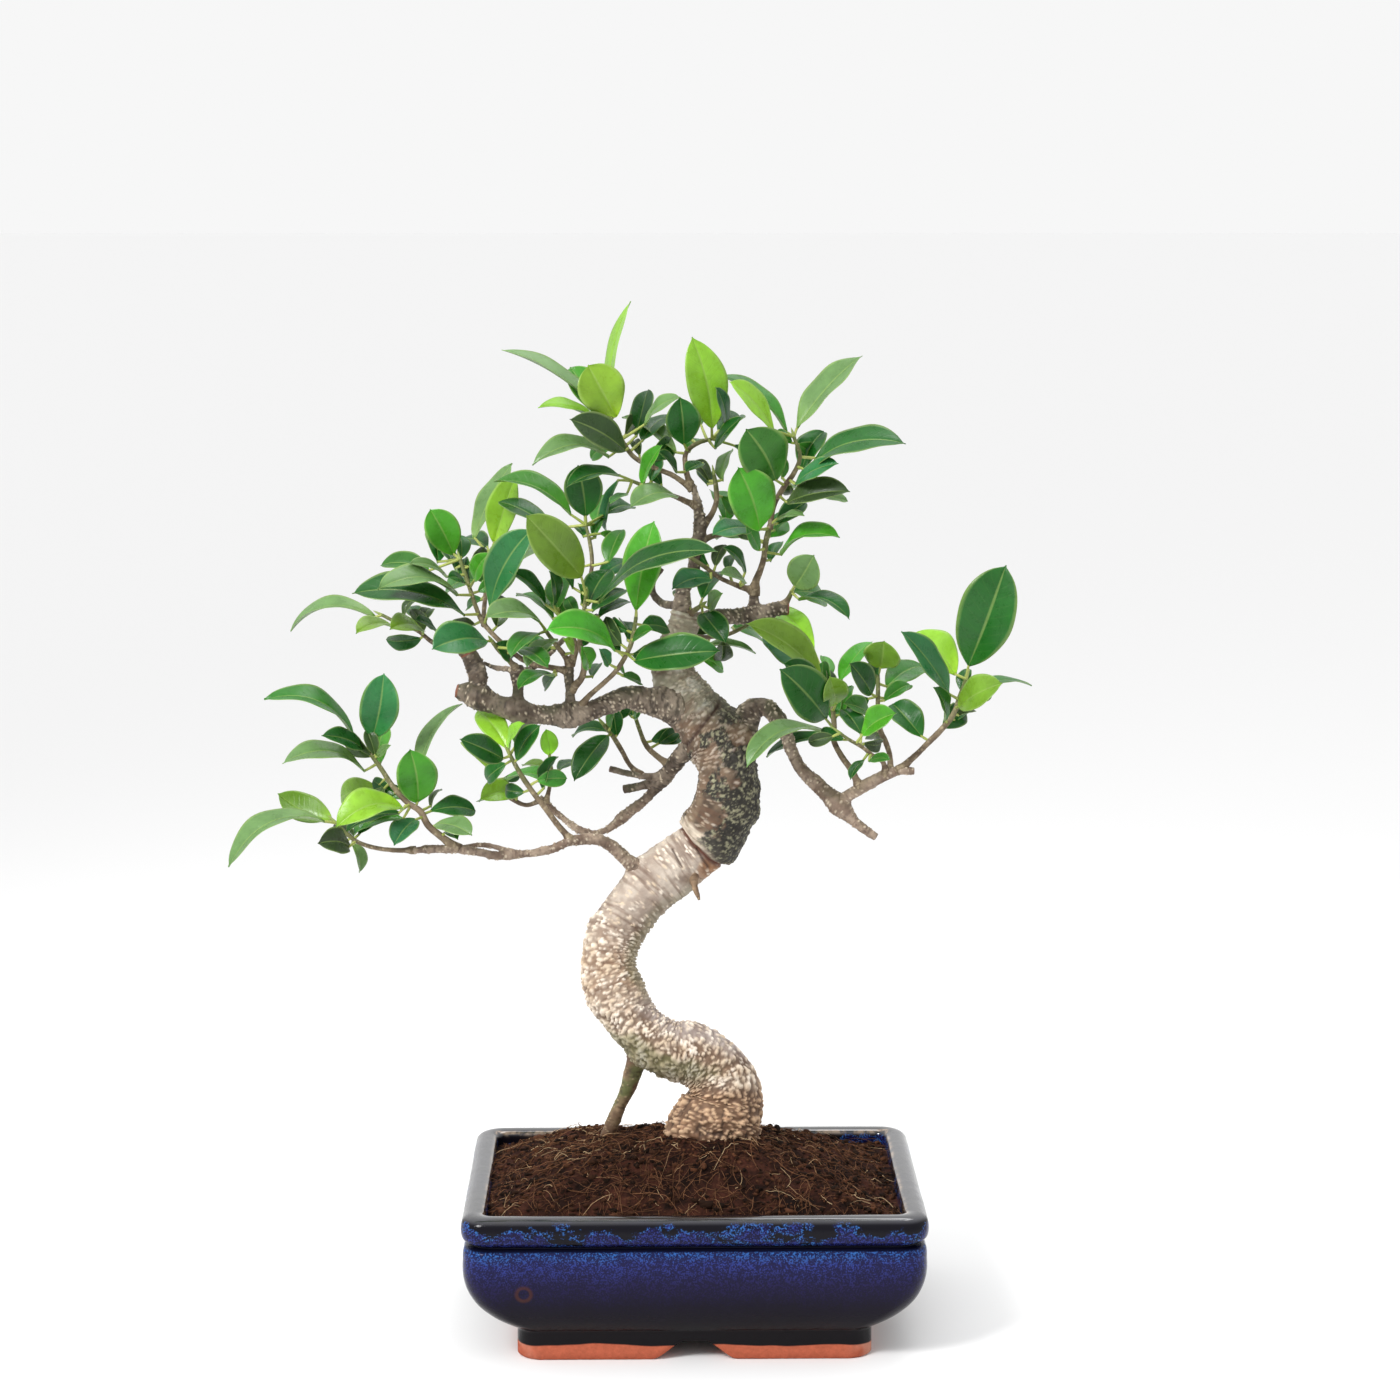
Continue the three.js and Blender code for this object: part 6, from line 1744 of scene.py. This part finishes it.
def add_bud(skin, stem):
    """A pointed bud sheath on a twig's end: a slim cone that swells and closes to a point."""
    last, before = drawn(stem)[-1, :3], drawn(stem)[-2, :3]
    along = unit(last - before)
    share = np.linspace(0, 1, 10)
    length = rng.uniform(4.0, 7.5)
    path = last + along * ((share * length)[:, None] - 0.6)
    radii = stem[-1][3] * 0.95 * (1 - share) ** 0.8 * (1 + 0.6 * share) + 0.08
    points, quads, triangles, _ = tube(path, radii, 10)
    tints = np.tile((0.24, 0.30, 0.075), (len(points), 1))
    skin.add(points, quads, triangles, tints=tints, material=1)


def add_small_leaves(skin, stems):
    """Short shaded leaves inside the crown: along each twig's outer part, pointing aside, up and back
    from it, so they stay behind the listed leaves."""
    for stem in stems:
        centres = smooth_path(stem, 1.0)[:, :3]
        for _ in range(max(1, int(len(centres) / 12))):
            at = centres[int(rng.uniform(0.45, 0.97) * len(centres))]
            heading = unit(np.array([rng.normal(0, 0.75), rng.uniform(0.2, 1.0), rng.normal(0.35, 0.55)]))
            length = rng.uniform(11, 20)
            base = (at + heading * rng.uniform(3, 6)) / [1, SPREAD, 1]
            tip = base + heading * length / [1, SPREAD, 1]
            leaf = [*base, *tip, length * rng.uniform(0.46, 0.60), rng.uniform(-40, 60), rng.uniform(1, 3)]
            add_leaf(skin, stems, leaf, "dmnd"[rng.integers(4)])


def make_sprays():
    """Every twig with its leaves: the leaves and stalks as one piece, the twig's wood as another."""
    limbs = [stem for stems in BRANCHES.values() for stem in stems]
    for name, spray in SPRAYS.items():
        leaves = Skin()
        stems = [drawn(stem) for stem in spray["stems"]]
        for leaf, tone in zip(spray["leaves"], spray["tones"]):
            add_leaf(leaves, stems, leaf, tone)
        add_small_leaves(leaves, stems)
        for stem in spray["stems"]:
            add_bud(leaves, stem)
        leaves.object(name + "_leaves", [LEAF, GREEN_STEM], "foliage", [name], as_drawn=True)
        twigs = Skin()
        for stem in spray["stems"]:
            stem_skin(twigs, smooth_path(drawn(stem), 0.6), 18, twig_colour, 0.28, limbs, 3)
        twigs.object(name + "_twig", [BRANCH_BARK], "branch_bark", [name], as_drawn=True)


# ------------------------------------------------------------------ floor, light and camera


def make_stage():
    """A wide pale floor, a key lamp high on the left, a weaker one above and behind, a pale sky."""
    mesh = bpy.data.meshes.new("floor")
    corners = [(x * FLOOR_REACH, y * FLOOR_REACH, 0) for x, y in ((-1, -1), (1, -1), (1, 1), (-1, 1))]
    mesh.from_pydata(corners, [], [(0, 1, 2, 3)])
    floor = bpy.data.objects.new("floor", mesh)
    bpy.context.scene.collection.objects.link(floor)
    material, shader, _ = new_material("pale floor")
    shader.inputs["Base Color"].default_value = (0.84, 0.84, 0.84, 1)
    shader.inputs["Roughness"].default_value = 0.9
    shader.inputs["Specular IOR Level"].default_value = 0.1
    mesh.materials.append(material)

    # the room: white behind, brighter overhead, darker on the viewer's side
    world = bpy.data.worlds.new("studio")
    bpy.context.scene.world = world
    world.use_nodes = True
    g = Graph(world.node_tree)
    _, back, up = g.parts(world.node_tree.nodes.new("ShaderNodeTexCoord").outputs["Generated"])
    side = g.ease(back, -0.75, 0.10, 0.78, 0.93)
    overhead = g.ease(up, 0.20, 0.95)
    grey = g.plus(g.times(side, g.less(1.0, overhead)),
                  g.times(overhead, 1.20))
    g.link(grey, world.node_tree.nodes["Background"].inputs["Color"])
    world.node_tree.nodes["Background"].inputs["Strength"].default_value = 1.0

    centre = (ORIGIN + [0, 0, 250]) * MM
    for name, offset, watts, size in LAMPS:
        lamp = bpy.data.lights.new(name, "AREA")
        lamp.energy, lamp.size = watts, size
        lamp.spread = math.radians(LAMP_SPREAD)
        holder = bpy.data.objects.new(name, lamp)
        bpy.context.scene.collection.objects.link(holder)
        holder.location = centre + np.array(offset)
        towards = mathutils.Vector(-np.array(offset))
        holder.rotation_euler = towards.to_track_quat("-Z", "Y").to_euler()


def make_camera():
    """The camera at the viewpoint the tree was drawn from."""
    data = bpy.data.cameras.new("camera")
    data.lens, data.sensor_width = SIGHT["lens"], SIGHT["sensor"]
    camera = bpy.data.objects.new("camera", data)
    bpy.context.scene.collection.objects.link(camera)
    camera.location = (ORIGIN + SIGHT["from"]) * MM
    camera.rotation_euler = (math.radians(90 - SIGHT["down"]), 0, math.radians(-SIGHT["right"]))
    bpy.context.scene.camera = camera


make_pot()
for node in ("drain_mesh_left", "drain_mesh_right"):
    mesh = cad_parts[node].data
    mesh.materials.clear()
    mesh.materials.append(NETTING)
make_soil()
make_crumbs()
make_fibres("brown_fibres", 1500, 13, 0.17, ((0.060, 0.024, 0.013), (0.210, 0.100, 0.050)))
make_fibres("pale_roots", 200, 14, 0.15, ((0.30, 0.160, 0.080), (0.72, 0.520, 0.300)))
make_wood()
make_sprays()
make_stage()
make_camera()
bpy.context.scene.view_settings.view_transform = "Standard"
